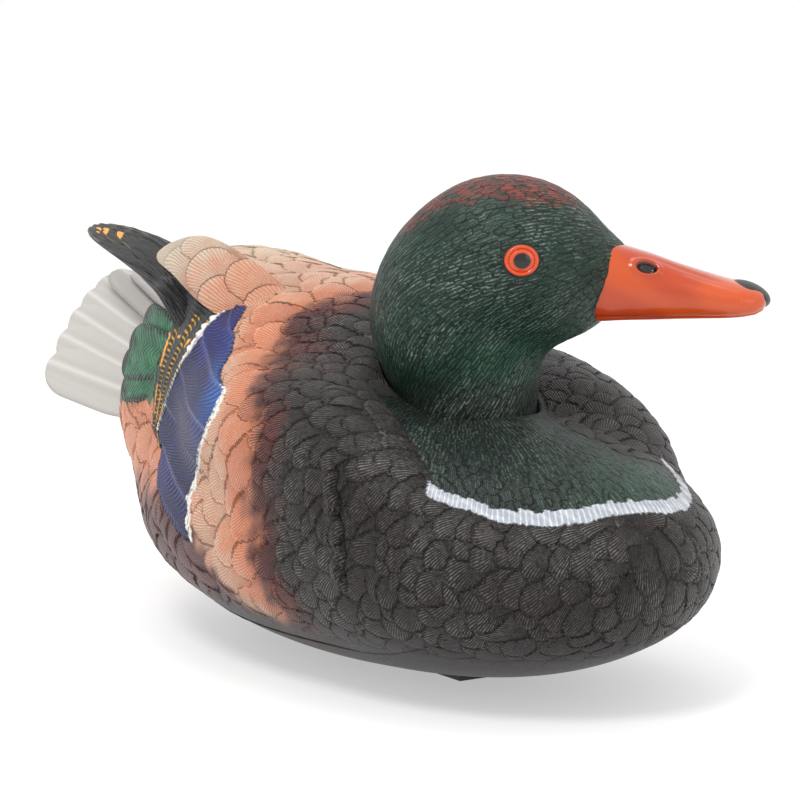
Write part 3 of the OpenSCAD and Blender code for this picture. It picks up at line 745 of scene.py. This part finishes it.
def make_body():
    """The upper shell and the pan: one skin, feathered and painted, then parted at the seam."""
    boxes = np.array([np.array(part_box(name)) / MM for name in ("upper_shell", "hull_pan")])
    p, quads = skin_of(body_field, boxes[:, 0].min(0) - 6, boxes[:, 1].max(0) + 8, 0.66 * FINE)
    body = Body(relax(p, quads, body_field, 2), quads)
    body.lay_scales()
    body.lay_chest()
    body.press_patch()
    body.press_strip()
    body.press_wing_edge()
    high = np.clip(body.height / 0.8, 0, 1)
    paint, dry = body.paint_flanks()
    body.paint_rump(paint, dry)
    body.paint_wing(paint, dry)
    body.paint_chest(paint, dry)
    # painted shade: the crease at the folded wing's front edge is painted nearly black
    paint = mix(paint, srgb(8, 6, 6), 0.8 * body.crease)
    # the hull's bottom is a smooth dark band
    band = 1 - ramp(body.p[:, 2] + 1.5 * body.noise_2, 15, 26)
    paint = mix(paint, srgb(24, 17, 16), 0.97 * band)
    brush = (0.25 + 0.75 * high) * (1 - band) * 0.9
    chest_brush = np.clip(0.5 + 0.4 * body.noise_1, 0.15, 1) * (0.4 + 0.6 * body.lot[:, 0])
    brush = np.where(body.chest, chest_brush, brush)
    brush = np.where(body.in_patch, 0.75, brush)
    brush = np.where(body.ladder, 1.6, brush)
    moved = body.p + body.n * np.where(body.inner, 0, body.height)[:, None]
    barbs = np.stack([body.phase, body.barb, brush], 1)
    return [seam_half(name, sign, moved, quads, body.n, paint, dry, barbs)
            for name, sign in (("upper_shell_skin", 1), ("hull_pan_skin", -1))]


def seam_half(name, sign, p, quads, n, paint, dry, barbs):
    """The skin above the seam, or below it if sign is -1, with its rim turned in by the wall's thickness."""
    middle = p[quads].mean(1)
    above = middle[:, 2] > seam_z(middle[:, 0])
    used, q = np.unique(quads[above if sign > 0 else ~above], return_inverse=True)
    q = q.reshape(-1, 4)
    v = p[used]
    edges = np.stack([q, np.roll(q, -1, 1)], -1).reshape(-1, 2)
    pairs = np.sort(edges, 1)
    key = pairs[:, 0] * len(v) + pairs[:, 1]
    _, first, hits = np.unique(key, return_index=True, return_counts=True)
    rim = edges[first[hits == 1]]
    at_rim = np.unique(rim)
    v[at_rim, 2] = seam_z(v[at_rim, 0]) + sign * SEAM_GAP / 2
    inner_rim = v[at_rim] - n[used][at_rim] * [1, 1, 0] * WALL
    lookup = np.full(len(v), -1)
    lookup[at_rim] = len(v) + np.arange(len(at_rim))
    turned = np.stack([rim[:, 1], rim[:, 0], lookup[rim[:, 0]], lookup[rim[:, 1]]], 1)
    pick = np.concatenate([used, used[at_rim]])
    return mesh_of(name, np.concatenate([v, inner_rim]), np.concatenate([q, turned]),
                   paint[pick], dry[pick], barbs[pick])


# ---------------------------------------------------------------- head

def make_head():
    """The head and neck: short hair-like tufts all over, and smooth skin round the eyes."""
    p, quads = skin_of(head_field, (-40, -36, 74), (56, 36, 148), 0.5 * FINE)
    p = relax(p, quads, head_field, 2)
    n = unit(gradient(head_field, p))
    skin = Skin(p, quads, n)
    x, y, z = p.T
    bottom = z < SEAT_Z + 1.2
    tufts = skin.scatter(~bottom, 1.9 * FINE)
    flow = np.stack([-1.0 + 0 * x, 0.25 * np.sign(y), -0.25 - 1.3 * ramp(118 - z, 0, 26)], 1)
    for i in tufts:
        skin.hair(i, flow[i], 5.4, 1.5, 0.22)
    # smooth skin round the eyes
    eye = np.minimum(np.linalg.norm(p - EYES[0], axis=1), np.linalg.norm(p - EYES[1], axis=1))
    skin.height *= ramp(eye, 4.4, 6.5)
    skin.barb *= ramp(eye, 4.6, 6.0)
    noise_1, noise_2, noise_3 = wander(p, 16, 21), wander(p, 5, 22), wander(p, 1.6, 23)
    lot = skin.lot
    green = mix(srgb(12, 38, 29), srgb(18, 50, 38), lot[:, 0])
    green = mix(green, srgb(10, 30, 25), ramp(noise_1, -0.2, 0.9) * 0.5)
    throat = np.exp(-((z - 92) / 8) ** 2) * ramp(x, -14, 14)
    green = mix(green, srgb(18, 72, 50), 0.6 * throat)
    # painted shade: the neck darkens towards its base, where it stands in the body's well
    neck_shade = 1 - ramp(z + noise_2, 78, 90)
    green = mix(green, srgb(22, 26, 21), 0.8 * neck_shade)
    crown_low = np.interp(x, [-15, -10, 2, 16, 30], [127, 131, 136, 136, 135])
    crown = ramp(z + 1.5 * noise_2 - crown_low, -1.5, 2.5)
    speck = crown * ramp(noise_3 + 0.9 * lot[:, 1], 0.0, 0.5)
    green = mix(green, mix(srgb(128, 44, 32), srgb(96, 34, 26), lot[:, 2]), 0.9 * speck)
    dry = mix(srgb(142, 164, 150), srgb(196, 112, 92), crown)
    brush = np.clip(0.45 + 0.45 * noise_1, 0.12, 1) * (0.4 + 0.6 * lot[:, 0]) * ramp(skin.height, 0.0, 0.14)
    base = 1 - ramp(z, SEAT_Z + 1, SEAT_Z + 3)
    moved = p + n * (skin.height * (1 - base))[:, None]
    return mesh_of("head_shell_skin", from_head(moved), quads, green, dry,
                   np.stack([skin.phase, skin.barb, brush], 1))


def eye_places():
    """The eyes' centres on the head's skin, in the head's frame."""
    found = []
    for side in (-1, 1):
        lo, hi = 0.0, 40.0
        for _ in range(24):
            mid = (lo + hi) / 2
            inside = head_field(np.array([[EYE_X, mid, EYE_Z]]))[0] < 0
            lo, hi = (mid, hi) if inside else (lo, mid)
        found.append(np.array([EYE_X, side * lo, EYE_Z]))
    return found


EYES = eye_places()


def lathe(profile, turns):
    """Rings about z through (radius, height) pairs, closed at both ends."""
    a = np.linspace(0, 2 * math.pi, turns, endpoint=False)
    rings = [np.stack([r * np.cos(a), r * np.sin(a), 0 * a + h], 1) for r, h in profile]
    return np.concatenate(rings), ring_quads(len(profile), turns)


def make_eye(side, name):
    """A domed eye in its raised ring: black pupil, orange iris."""
    ball = [(0.02, 2.2)] + [(r, 2.2 - 0.075 * r * r) for r in np.linspace(0.3, 3.9, 20)]
    lid = [(4.5 + 0.62 * math.sin(a), 0.95 + 0.5 * math.cos(a)) for a in np.linspace(-1.4, 1.9, 14)]
    profile = ball + [(3.93, 0.85)] + lid + [(5.0, -0.5), (4.9, -2.5), (0.02, -2.5)]
    p, quads = lathe(profile, 72)
    quads = quads[:, ::-1]
    r = np.hypot(p[:, 0], p[:, 1])
    front = p[:, 2] > -0.6
    paint = mix(srgb(190, 62, 18), srgb(206, 74, 22), ramp(r, 2.4, 3.6))
    paint = mix(paint, srgb(110, 30, 14), np.exp(-((r - 3.95) / 0.2) ** 2))
    paint = mix(srgb(8, 7, 7), paint, ramp(r, 2.45, 2.75))
    paint = mix(srgb(200, 66, 20), paint, ((r < 3.9) & front) * 1.0)
    out = np.array([math.sin(EYE_YAW), side * math.cos(EYE_YAW), 0.0])
    right = np.cross([0, 0, 1.0], out)
    q = EYES[0 if side < 0 else 1] + p[:, :1] * right * 0.94 + p[:, 1:2] * [0, 0, 0.84] + p[:, 2:] * out * 0.9
    return mesh_of(name, from_head(q), quads, paint, paint, 0 * p)


def make_bill():
    """The bill is lofted along its length, then the nostrils and gape are worked into it."""
    rows, turns = 190, 200
    at = [30, 38, 44, 52, 60, 68, 74, 79, 83, 85.5, 87.0]
    mid = [113.4, 113.2, 112.3, 111.2, 109.9, 108.9, 108.2, 107.8, 107.7, 107.8, 107.8]
    half_w = [12.2, 12.4, 10.6, 9.6, 9.8, 10.6, 11.0, 10.9, 9.7, 7.6, 0.3]
    half_h = [12.0, 12.0, 10.8, 9.6, 8.0, 6.7, 5.8, 5.0, 4.2, 3.3, 0.3]
    end = 1 - np.linspace(1, 0, rows) ** 1.8
    xs = at[0] + (at[-1] - at[0]) * end
    a = np.linspace(0, 2 * math.pi, turns, endpoint=False)

    def along(values):
        k = np.interp(xs, at, values)
        soft = np.convolve(np.pad(k, 5, mode="edge"), np.ones(11) / 11, "valid")
        return np.where(xs < 80, soft, k)

    m, w, h = along(mid), along(half_w), along(half_h)
    tip = np.clip((xs - 83) / 4, 0, 1)
    w = np.where(xs > 79, 11.0 * np.sqrt(np.clip(1 - ((xs - 76) / 11.0) ** 2, 0, 1)) ** 0.8, w) + 0.2
    h = np.where(xs > 83, h * np.sqrt(np.clip(1 - tip ** 2, 0, 1)) ** 0.5, h) + 0.1
    X = np.repeat(xs[:, None], turns, 1)
    ca, sa = np.cos(a)[None], np.sin(a)[None]
    power = np.interp(xs, [30, 40, 60, 87], [0.6, 0.66, 0.86, 0.82])[:, None]
    Y = w[:, None] * np.sign(ca) * np.abs(ca) ** power
    Z = h[:, None] * np.sign(sa) * np.abs(sa) ** np.where(sa > 0, 1.0, 0.7)
    Z = Z + m[:, None]
    p = np.stack([X, Y, Z], -1).reshape(-1, 3)
    quads = ring_quads(rows, turns)[:, ::-1]
    caps = [np.arange(turns)[None], (np.arange(turns)[::-1] + (rows - 1) * turns)[None]]
    out = unit(np.stack([0 * X, Y / w[:, None] ** 2, (Z - m[:, None]) / h[:, None] ** 2], -1).reshape(-1, 3))
    x, y, z = p.T
    angle = np.arctan2((z - np.interp(x, xs, m)) / np.interp(x, xs, h), np.abs(y) / np.interp(x, xs, w))
    lift = np.zeros(len(p))
    # nostrils: a long oval with a raised rim
    r = np.hypot((x - 51.2) / 3.1, (np.degrees(angle) - 38 - 0.6 * (x - 51.2)) / 11)
    lift += 0.55 * np.exp(-((r - 1.25) / 0.28) ** 2) - 1.5 * (1 - ramp(r, 0.5, 1.05))
    # the gape between the mandibles, and a soft step below it
    gape = np.degrees(angle) + 47 - 6 * ramp(x, 36, 84) + 3 * np.sin((x - 36) / 15)
    shown = ramp(x, 30, 34) * (1 - ramp(x, 84, 86.5))
    lift -= 0.75 * np.exp(-(gape / 4.0) ** 2) * shown
    lift -= 0.5 * ramp(-gape, 0, 22) * shown
    # a crease below the culmen, from the nostril forwards
    crease = 0.28 * np.exp(-((np.degrees(angle) - 62 + 0.5 * (x - 56)) / 7) ** 2)
    lift -= crease * ramp(x, 50, 58) * (1 - ramp(x, 66, 78))
    p = p + out * lift[:, None]
    # what is ahead of the middle is drawn in, which makes the bill 2 mm shorter
    middle, drawn_in = 60, 0.926
    p[:, 0] = np.where(p[:, 0] > middle, middle + (p[:, 0] - middle) * drawn_in, p[:, 0])
    orange = mix(srgb(190, 72, 16), srgb(174, 58, 12), ramp(wander(p, 12, 31), -0.5, 0.7))
    orange = mix(orange, srgb(160, 44, 18), 0.7 * np.exp(-(gape / 4.0) ** 2) * shown)
    paint = mix(srgb(26, 18, 16), orange, ramp(r, 0.85, 1.05))
    return mesh_of("bill_skin", from_head(p), [quads, *caps], paint, paint, 0 * p)


def make_nail():
    """The black nail that caps the bill's tip."""
    a = np.linspace(0.02, math.pi - 0.02, 40)
    p, quads = lathe([(math.sin(k), -math.cos(k)) for k in a], 60)
    along, across, up = 6.8 * p[:, 2], 8.0 * p[:, 1], 3.5 * p[:, 0]
    droop = math.radians(20)
    q = np.stack([79.3 + along * math.cos(droop) + up * math.sin(droop), across,
                  109.5 - along * math.sin(droop) + up * math.cos(droop)], 1)
    return mesh_of("bill_nail", from_head(q), quads)


# ---------------------------------------------------------------- loose feathers: tail, wings and rump

def curve_through(points, count):
    """Evenly spaced points on a smooth curve through the given ones."""
    pts = np.asarray(points, float)
    ext = np.concatenate([[2 * pts[0] - pts[1]], pts, [2 * pts[-1] - pts[-2]]])
    fine = []
    for i in range(len(pts) - 1):
        a, b, c, d = ext[i:i + 4]
        t = np.linspace(0, 1, 40, endpoint=False)[:, None]
        cubic = (2 * b, c - a, 2 * a - 5 * b + 4 * c - d, 3 * b - a - 3 * c + d)
        fine.append(0.5 * sum(k * t ** power for power, k in enumerate(cubic)))
    fine = np.concatenate(fine + [pts[-1:]])
    s = np.concatenate([[0], np.cumsum(np.linalg.norm(np.diff(fine, axis=0), axis=1))])
    at = np.linspace(0, s[-1], count)
    return np.stack([np.interp(at, s, fine[:, k]) for k in range(3)], 1), s[-1]


def leaf(spine, width_at, face, thick, rows, cols, dome, shape=None):
    """A feather as a closed thin solid: a grid on its upper side and another on its lower side.

    Returns its points, its quads, its length, and each point's place on it: how far along from 0 to 1,
    how far across from -1 to 1 and in mm, and 1 on the upper side or 0 on the lower one."""
    c, length = curve_through(spine, rows)
    d = unit(np.gradient(c, axis=0))
    face = np.broadcast_to(np.asarray(face, float), c.shape)
    b = unit(np.cross(face, d))
    n = unit(np.cross(d, b))
    u = np.linspace(0, 1, rows)
    w = width_at(u)
    v = np.sin(np.linspace(-1, 1, cols) * math.pi / 2)
    U, V = np.meshgrid(u, v, indexing="ij")
    W = V * w[:, None]
    base = c[:, None] + b[:, None] * W[..., None]
    arch = dome * (1 - V ** 2) * np.minimum(1, w / max(w.max(), 1e-6))[:, None]
    edge = np.sqrt(np.clip(1 - np.abs(V) ** 3, 0, 1)) * np.clip((1 - U) * 12, 0, 1) ** 0.5
    lift = shape(U, W) if shape else 0 * U
    top = base + n[:, None] * (arch + thick * (0.15 + 0.85 * edge) / 2 + lift)[..., None]
    low = base + n[:, None] * (arch - thick * (0.15 + 0.85 * edge) / 2)[..., None]
    p = np.concatenate([top.reshape(-1, 3), low.reshape(-1, 3)])
    m = rows * cols
    i, j = np.meshgrid(np.arange(rows - 1), np.arange(cols - 1), indexing="ij")
    o = (i * cols + j).ravel()
    up = np.stack([o, o + cols, o + cols + 1, o + 1], 1)
    down = (up + m)[:, ::-1]
    r = np.arange(rows - 1) * cols
    left = np.stack([r, r + m, r + cols + m, r + cols], 1)
    e = r + cols - 1
    right = np.stack([e, e + cols, e + cols + m, e + m], 1)
    q = np.arange(cols - 1)
    root = np.stack([q, q + 1, q + 1 + m, q + m], 1)
    t = (rows - 1) * cols + q
    tip = np.stack([t, t + m, t + m + 1, t + 1], 1)
    faces = np.concatenate([up, down, left, right, root, tip])[:, ::-1]
    place = np.concatenate([np.stack([U, V, W, 1 + 0 * U], -1).reshape(-1, 4),
                            np.stack([U, V, W, 0 * U], -1).reshape(-1, 4)])
    return p, faces, length, place.T


def round_tip(half, root=0.6, sharp=0.5, start=0.72):
    """Half widths of a feather that widens from its root and ends in a round tip."""
    def width(u):
        body = root + (1 - root) * ramp(u, 0, 0.5)
        near_tip = np.clip((u - start) / (1 - start), 0, 1)
        return half * body * np.clip(1 - near_tip ** 2.2, 0, 1) ** sharp + 0.05
    return width


class Pile:
    """Several feathers joined into one piece."""

    def __init__(self):
        self.p, self.f, self.paint, self.dry, self.barbs, self.count = [], [], [], [], [], 0

    def lay(self, p, faces, paint, dry, phase, barb, brush):
        self.p.append(p)
        self.f.append(faces + self.count)
        self.paint.append(np.broadcast_to(paint, p.shape))
        self.dry.append(np.broadcast_to(dry, p.shape))
        self.barbs.append(np.stack(np.broadcast_arrays(phase, barb, brush), 1))
        self.count += len(p)

    def make(self, name):
        return mesh_of(name, *[np.concatenate(v) for v in (self.p, self.f, self.paint, self.dry, self.barbs)])


def tail_point(u, v):
    """The tail fan's upper surface: u from -1 to 1 across it, v from 0 at its root to 1 at its tip."""
    half = 22 + 14 * math.copysign(abs(v) ** 0.8, v)
    return np.array([-112 - v * (66 - 9 * u * u), u * half, 74 + 24 * v - (14 + 18 * v) * abs(u) ** 1.6])


def make_tail():
    """Eleven feathers fanned over each other, the middle one on top."""
    pile = Pile()
    for rank in (5, 4, 3, 2, 1, 0):
        for side in ((-1, 1) if rank else (1,)):
            u = side * rank / 5.6
            spine = [tail_point(u, v) for v in (-0.12, 0.2, 0.5, 0.78, 1.0)]
            across = tail_point(u + 0.02, 0.6) - tail_point(u - 0.02, 0.6)
            face = unit(np.cross(across, spine[3] - spine[1]))
            face = face * np.sign(face[2])
            face = unit(face + 0.16 * unit(across) * side * (1 if rank else 0))
            spine = [q - face * 0.5 * rank for q in spine]

            def shape(U, W):
                quill = 0.7 * np.exp(-(W / 1.3) ** 2) * (1 - 0.6 * U)
                waves = 0.08 * np.sin(W * 2.6 + 5 * U + rank) * ramp(U, 0.1, 0.4)
                return quill + waves
            width = round_tip(9.2, 0.5, 0.55, 0.78)
            p, f, length, (U, V, W, _) = leaf(spine, width, face, 1.7, 90, 41, 0.9, shape)
            near_root = 1 - ramp(U + 0.04 * wander(p, 8, 41), 0.15, 0.45)
            paint = mix(srgb(180, 176, 171), srgb(186, 158, 142), 0.5 * near_root)
            # painted highlight along the raised quill
            paint = mix(paint, srgb(206, 202, 197), 0.7 * np.exp(-(W / 0.8) ** 2))
            # painted shade on either side of the raised quill
            quill_shade = np.exp(-((np.abs(W) - 2.2) / 1.2) ** 2) * (1 - 0.6 * U)
            paint = mix(paint, srgb(150, 144, 138), 0.35 * quill_shade)
            # painted shade along each feather's edges, where it steps down onto the one below
            paint = mix(paint, srgb(142, 136, 130), 0.5 * ramp(np.abs(V), 0.84, 1.0))
            phase = (np.abs(W) * 0.75 - U * length * 0.55) / 1.3
            pile.lay(p, f, paint, srgb(206, 203, 198), phase, 0.04, 0.0)
    return pile.make("tail_fan_feathers")


def wing_line(t, side):
    """The folded flight feathers' middle line, from the flank to over the tail."""
    rise = 17.5 * max(t, 0) ** 0.32 + 1.2 * math.sin(math.pi * min(max(t, 0), 1))
    lower = 8 if side > 0 else 0
    return np.array([-62 - 112 * t, side * (34 - 21.5 * max(t, 0) ** 1.2), 95.5 + rise - lower])


def blade(half):
    """Half widths that taper all the way to a small round tip."""
    return lambda u: half * np.clip(1 - u, 0, 1) ** 0.37 * (0.55 + 0.45 * ramp(u, 0, 0.25)) + 0.04


def make_wing_tip(side, name):
    """Long dark feathers on each other, all but the lowest with a yellow crescent, over folded edges."""
    pile = Pile()
    lean = unit(np.array([0.10, side * 0.64, 0.77]))
    down = unit(np.cross(lean, [1.0, 0, -0.15]) * side)
    down = down * -np.sign(down[2])
    for rank, reach in enumerate((1.0, 0.925, 0.85, 0.71)):
        spine = [np.array([-50, side * 27, 86])]
        spine += [wing_line(t * reach, side) for t in (0.1, 0.25, 0.5, 0.75, 1.0)]
        spine = [q + lean * (0.55 * rank) - down * (0.5 * rank) for q in spine]
        half = blade(9.0 - 0.6 * rank)

        def shape(U, W):
            return 0.2 * np.sin(W * 4.2 + 0.5 * np.sin(U * 40)) + 0.5 * np.exp(-((W - 1.0) / 0.5) ** 2)
        p, f, length, (U, _, W, top) = leaf(spine, half, lean, 1.9, 300, 61, 0.2 if rank else 0.7, shape)
        paint = mix(srgb(6, 6, 7), srgb(13, 13, 14), ramp(wander(p, 6, 51 + rank), -0.5, 0.8))
        from_tip = (1 - U) * length
        rim = half(U) - np.abs(W)
        lower = (np.cross(lean, unit(spine[5] - spine[0])) @ down) * W > -0.15
        edge = np.minimum(rim, 0.9 * from_tip)
        crescent = (edge < 2.6) & (edge > 0.45) & (from_tip < 9.5) & (top > 0.5) & lower & (rank > 0)
        thin = (rim > 0.35) & (rim < 0.8) & (from_tip < 24) & (top > 0.5)
        paint[thin] = mix(paint[thin], srgb(150, 124, 84), 0.45)
        paint[crescent] = srgb(236, 160, 36)
        phase = W / 0.95 + 0.2 * np.sin(U * 30)
        pile.lay(p, f, paint, srgb(104, 104, 102), phase, 0.9 * ~crescent, 0.3 * ramp(rim, 0, 0.8))
    # the folded feathers' edges, stacked below
    for rank in range(4):
        spine = []
        for t in (-0.05, 0.3, 0.6, 0.85, 1.0):
            fall = (3.8 + 1.3 * rank) * (1 - 0.55 * max(t, 0))
            spine.append(wing_line(t * (0.93 - 0.12 * rank), side) + down * fall - lean * 0.5 * rank)
        p, f, _, (_, _, W, _) = leaf(spine, blade(3.0), lean, 2.0, 90, 15, 0.5)
        pile.lay(p, f, srgb(14, 14, 15), srgb(110, 110, 107), W / 0.9, 0.8, 0.3)
    return pile.make(name)


def make_shoulder_feathers(side, name):
    """The big soft feathers over the folded wing's root, and the dark-edged green ones on the rump."""
    pile = Pile()
    across = [1, side, 1]
    # the left wing is folded lower on the back than the right one
    if side < 0:
        line = ((-20, 14, 86), (-38, 23, 97), (-55, 30, 106.5), (-74, 32, 113), (-93.5, 31.5, 112))
        face = unit(np.array([0.05, side * 0.7, 0.71]))
    else:
        line = ((-20, 14, 86), (-38, 23, 98), (-55, 28.5, 100), (-74, 29.5, 101), (-92, 28, 103.5))
        face = unit(np.array([0.05, side * 0.56, 0.83]))
    spine = [np.array(q) * across for q in line]
    lobe_length = 88.0
    # feathers within the lobe, each over those before it:
    # its tip's distance from the lobe's end, its offset across and its half width
    within = ((0, 0, 10.5), (13, 5.5, 7.0), (16, -5.5, 7.0), (27, 0.5, 8.0),
              (38, 6.0, 7.5), (41, -5.0, 7.5), (53, 0.0, 9.0))

    def lobe(u):
        blunt = np.clip(1 - np.clip((u - 0.5) / 0.5, 0, 1) ** 1.7, 0, 1) ** 0.62
        return 9.6 * ramp(u, -0.3, 0.45) * blunt + 0.3

    def inside(s, W, feather):
        """1 well inside a feather's rounded tip, 0 at its edge and outside."""
        back, offset, half = feather
        ahead_of_tip = np.minimum(s - back - half, 0)
        return 1 - np.sqrt((ahead_of_tip / half) ** 2 + ((W - offset) / half) ** 2)

    def shape(U, W):
        s = (1 - U) * lobe_length
        h = 0 * s
        for feather in within[1:]:
            h = np.maximum(h * 0.6, 0.55 * ramp(inside(s, W, feather), 0, 0.12))
        return h
    p, f, _, (U, _, W, _) = leaf(spine, lobe, face, 3.0, 200, 81, 1.5, shape)
    s = (1 - U) * lobe_length
    phase, rim = 0 * s, 0 * s
    for i, feather in enumerate(within):
        mine = inside(s, W, feather)
        back, offset, half = feather
        angle = np.arctan2(W - offset, np.maximum(back + 26 - s, 4))
        fan = 21 * angle + 0.37 * i + 0.12 * wander(p, 6, 61 + i)
        phase = np.where(mine > 0, fan, phase)
        rim = np.where(mine > 0, 1 - ramp(mine, 0, 0.18), rim)
    paint = mix(srgb(200, 138, 108), srgb(196, 176, 154), ramp(U + 0.06 * wander(p, 7, 62), 0.42, 0.82))
    paint = mix(paint, srgb(150, 100, 82), 0.35 * rim * (1 - ramp(U, 0.5, 0.85)))
    dry = mix(srgb(240, 184, 150), srgb(232, 216, 196), ramp(U, 0.42, 0.82))
    pile.lay(p, f, paint, dry, phase, 0.7, 0.45 + 0.3 * rim)
    for root, tip in (((-72, 40, 90), (-98, 33, 92)), ((-70, 43, 86), (-96.5, 39, 85.5)),
                      ((-70, 44.5, 81), (-98, 41, 78.5)), ((-70, 45, 76), (-97, 42, 71))):
        root, tip = np.array(root) * across, np.array(tip) * across
        face = unit(np.array([-0.25, side * 0.9, 0.28]))
        spine = [root - face * 1.2, root * 0.55 + tip * 0.45 + face * 0.5, tip + face * 0.6]
        p, f, length, (U, V, W, _) = leaf(spine, round_tip(5.6, 0.8, 0.5), face, 2.0, 50, 25, 0.5)
        rough_edge = 0.10 * wander(p, 2.5, 63)
        green = mix(srgb(22, 80, 52), srgb(48, 120, 82), 0.5 + 0.5 * wander(p, 4, 64))
        rim = np.maximum(ramp(np.abs(V) + rough_edge, 0.62, 0.85), ramp(U + rough_edge, 0.72, 0.86))
        paint = mix(green, srgb(20, 26, 24), rim)
        phase = (np.abs(W) * 0.7 - U * length * 0.6) / 1.15
        pile.lay(p, f, paint, srgb(106, 156, 126), phase, 1.0, 0.5 * (1 - ramp(U, 0.7, 0.9)))
    return pile.make(name)


# ---------------------------------------------------------------- put together

upper, pan = make_body()
head = make_head()
bill = make_bill()
nail = make_nail()
eye_right = make_eye(-1, "eye_right_painted")
eye_left = make_eye(1, "eye_left_painted")
tail = make_tail()
wing_right = make_wing_tip(-1, "wing_tip_right_feathers")
wing_left = make_wing_tip(1, "wing_tip_left_feathers")
cover_right = make_shoulder_feathers(-1, "cover_feathers_right")
cover_left = make_shoulder_feathers(1, "cover_feathers_left")

feather_paint = painted("feather_paint", rough=0.40, barb_depth=0.34, gloss=0.38)
hull_paint = painted("hull_paint", rough=0.40, barb_depth=0.34)
head_paint = painted("head_paint", rough=0.40, barb_depth=0.26, grain=0.08)
tail_paint = painted("tail_paint", rough=0.62, barb_depth=0.22, grit=0.03)
wing_paint = painted("wing_paint", rough=0.38, barb_depth=0.22, gloss=0.22)
bill_enamel = painted("bill_enamel", rough=0.34, barb_depth=0.0, grain=0.03, coat=0.8, grit=0.03, gloss=0.2)
nail_black = plain("nail_black", srgb(14, 13, 13), 0.38, grain=0.01)
eye_enamel = painted("eye_enamel", rough=0.25, barb_depth=0.0, grain=0.0, coat=0.9, grit=0.02, gloss=0.12)

for piece, material, body, slot, replaced in (
        (upper, feather_paint, "hull", "feather_paint", ["upper_shell"]),
        (cover_right, feather_paint, "hull", "feather_paint", ["upper_shell"]),
        (cover_left, feather_paint, "hull", "feather_paint", ["upper_shell"]),
        (pan, hull_paint, "hull", "hull_paint", ["hull_pan"]),
        (tail, tail_paint, "hull", "tail_paint", ["tail_fan"]),
        (wing_right, wing_paint, "hull", "wing_paint", ["wing_tip_right"]),
        (wing_left, wing_paint, "hull", "wing_paint", ["wing_tip_left"]),
        (head, head_paint, "head", "head_paint", ["head_shell"]),
        (bill, bill_enamel, "head", "bill_enamel", ["bill"]),
        (nail, nail_black, "head", "bill_enamel", ["bill"]),
        (eye_right, eye_enamel, "head", "eye_enamel", ["eye_right"]),
        (eye_left, eye_enamel, "head", "eye_enamel", ["eye_left"])):
    piece.data.materials.append(material)
    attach(piece, body)
    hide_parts(*replaced)

# carried-over hardware keeps its CAD shape
looks = {
    "black_rubber": plain("black_rubber", srgb(30, 30, 30), 0.75),
    "float_foam": plain("float_foam", srgb(236, 232, 216), 0.85, scale=700),
    "ballast_iron": plain("ballast_iron", srgb(98, 98, 102), 0.6, metal=0.8),
    "steel": plain("steel", srgb(190, 190, 192), 0.32, metal=1.0, grain=0.02),
    "bearing_nylon": plain("bearing_nylon", srgb(226, 222, 208), 0.5),
    "plug_plastic": plain("plug_plastic", srgb(44, 44, 46), 0.42),
    "hull_paint": plain("hull_paint_plain", srgb(46, 40, 38), 0.5),
}
for part in frame["record"]["subparts"]:
    look = looks.get(part["material_slot"])
    node = frame["nodes"].get(part["node"])
    if look and node:
        node.data.materials.clear()
        node.data.materials.append(look)

# ---------------------------------------------------------------- floor, light, camera

FLOOR_HALF, FLOOR_Z = 3000.0, -0.5
floor_corners = [(x * FLOOR_HALF, y * FLOOR_HALF, FLOOR_Z) for x, y in ((-1, -1), (1, -1), (1, 1), (-1, 1))]
floor_mesh = mesh_of("studio_floor", np.array(floor_corners), np.array([[0, 1, 2, 3]]), smooth=False)
floor_look, _, shader = nodes_of("floor_white")
shader.inputs["Base Color"].default_value = (0.55, 0.55, 0.55, 1)
shader.inputs["Emission Color"].default_value = (1, 1, 1, 1)
shader.inputs["Emission Strength"].default_value = 0.44
shader.inputs["Roughness"].default_value = 0.8
floor_mesh.data.materials.append(floor_look)

world = bpy.data.worlds.new("studio")
bpy.context.scene.world = world
world.use_nodes = True
world.node_tree.nodes["Background"].inputs[0].default_value = (1, 1, 1, 1)
world.node_tree.nodes["Background"].inputs[1].default_value = 1.0
bpy.context.scene.view_settings.view_transform = "Standard"


def area_light(name, place, target, size, watts):
    data = bpy.data.lights.new(name, "AREA")
    data.shape, data.size, data.energy = "DISK", size, watts
    o = bpy.data.objects.new(name, data)
    o.location = place
    o.rotation_mode = "QUATERNION"
    o.rotation_quaternion = (Vector(target) - Vector(place)).to_track_quat("-Z", "Y")
    bpy.context.scene.collection.objects.link(o)


area_light("key", (0.45, -0.75, 1.15), (0, 0, 0.06), 0.45, 9)
area_light("top", (-0.25, 0.1, 1.35), (0, 0, 0.06), 0.9, 4)
area_light("fill", (1.2, 0.45, 0.5), (0, 0, 0.06), 0.8, 1.5)

camera = bpy.data.objects.new("camera", bpy.data.cameras.new("camera"))
bpy.context.scene.collection.objects.link(camera)
azimuth, elevation = math.radians(57), math.radians(8)
level = math.cos(elevation)
towards_camera = Vector((math.sin(azimuth) * level, -math.cos(azimuth) * level, math.sin(elevation)))
# a long lens far off, placed so that the decoy stands in the frame as it does in the photograph
camera.location = (0.82003, -0.53647, 0.21285)
camera.rotation_mode = "QUATERNION"
camera.rotation_quaternion = (-towards_camera).to_track_quat("-Z", "Y")
camera.data.lens = 153
camera.data.sensor_width = 36
bpy.context.scene.camera = camera
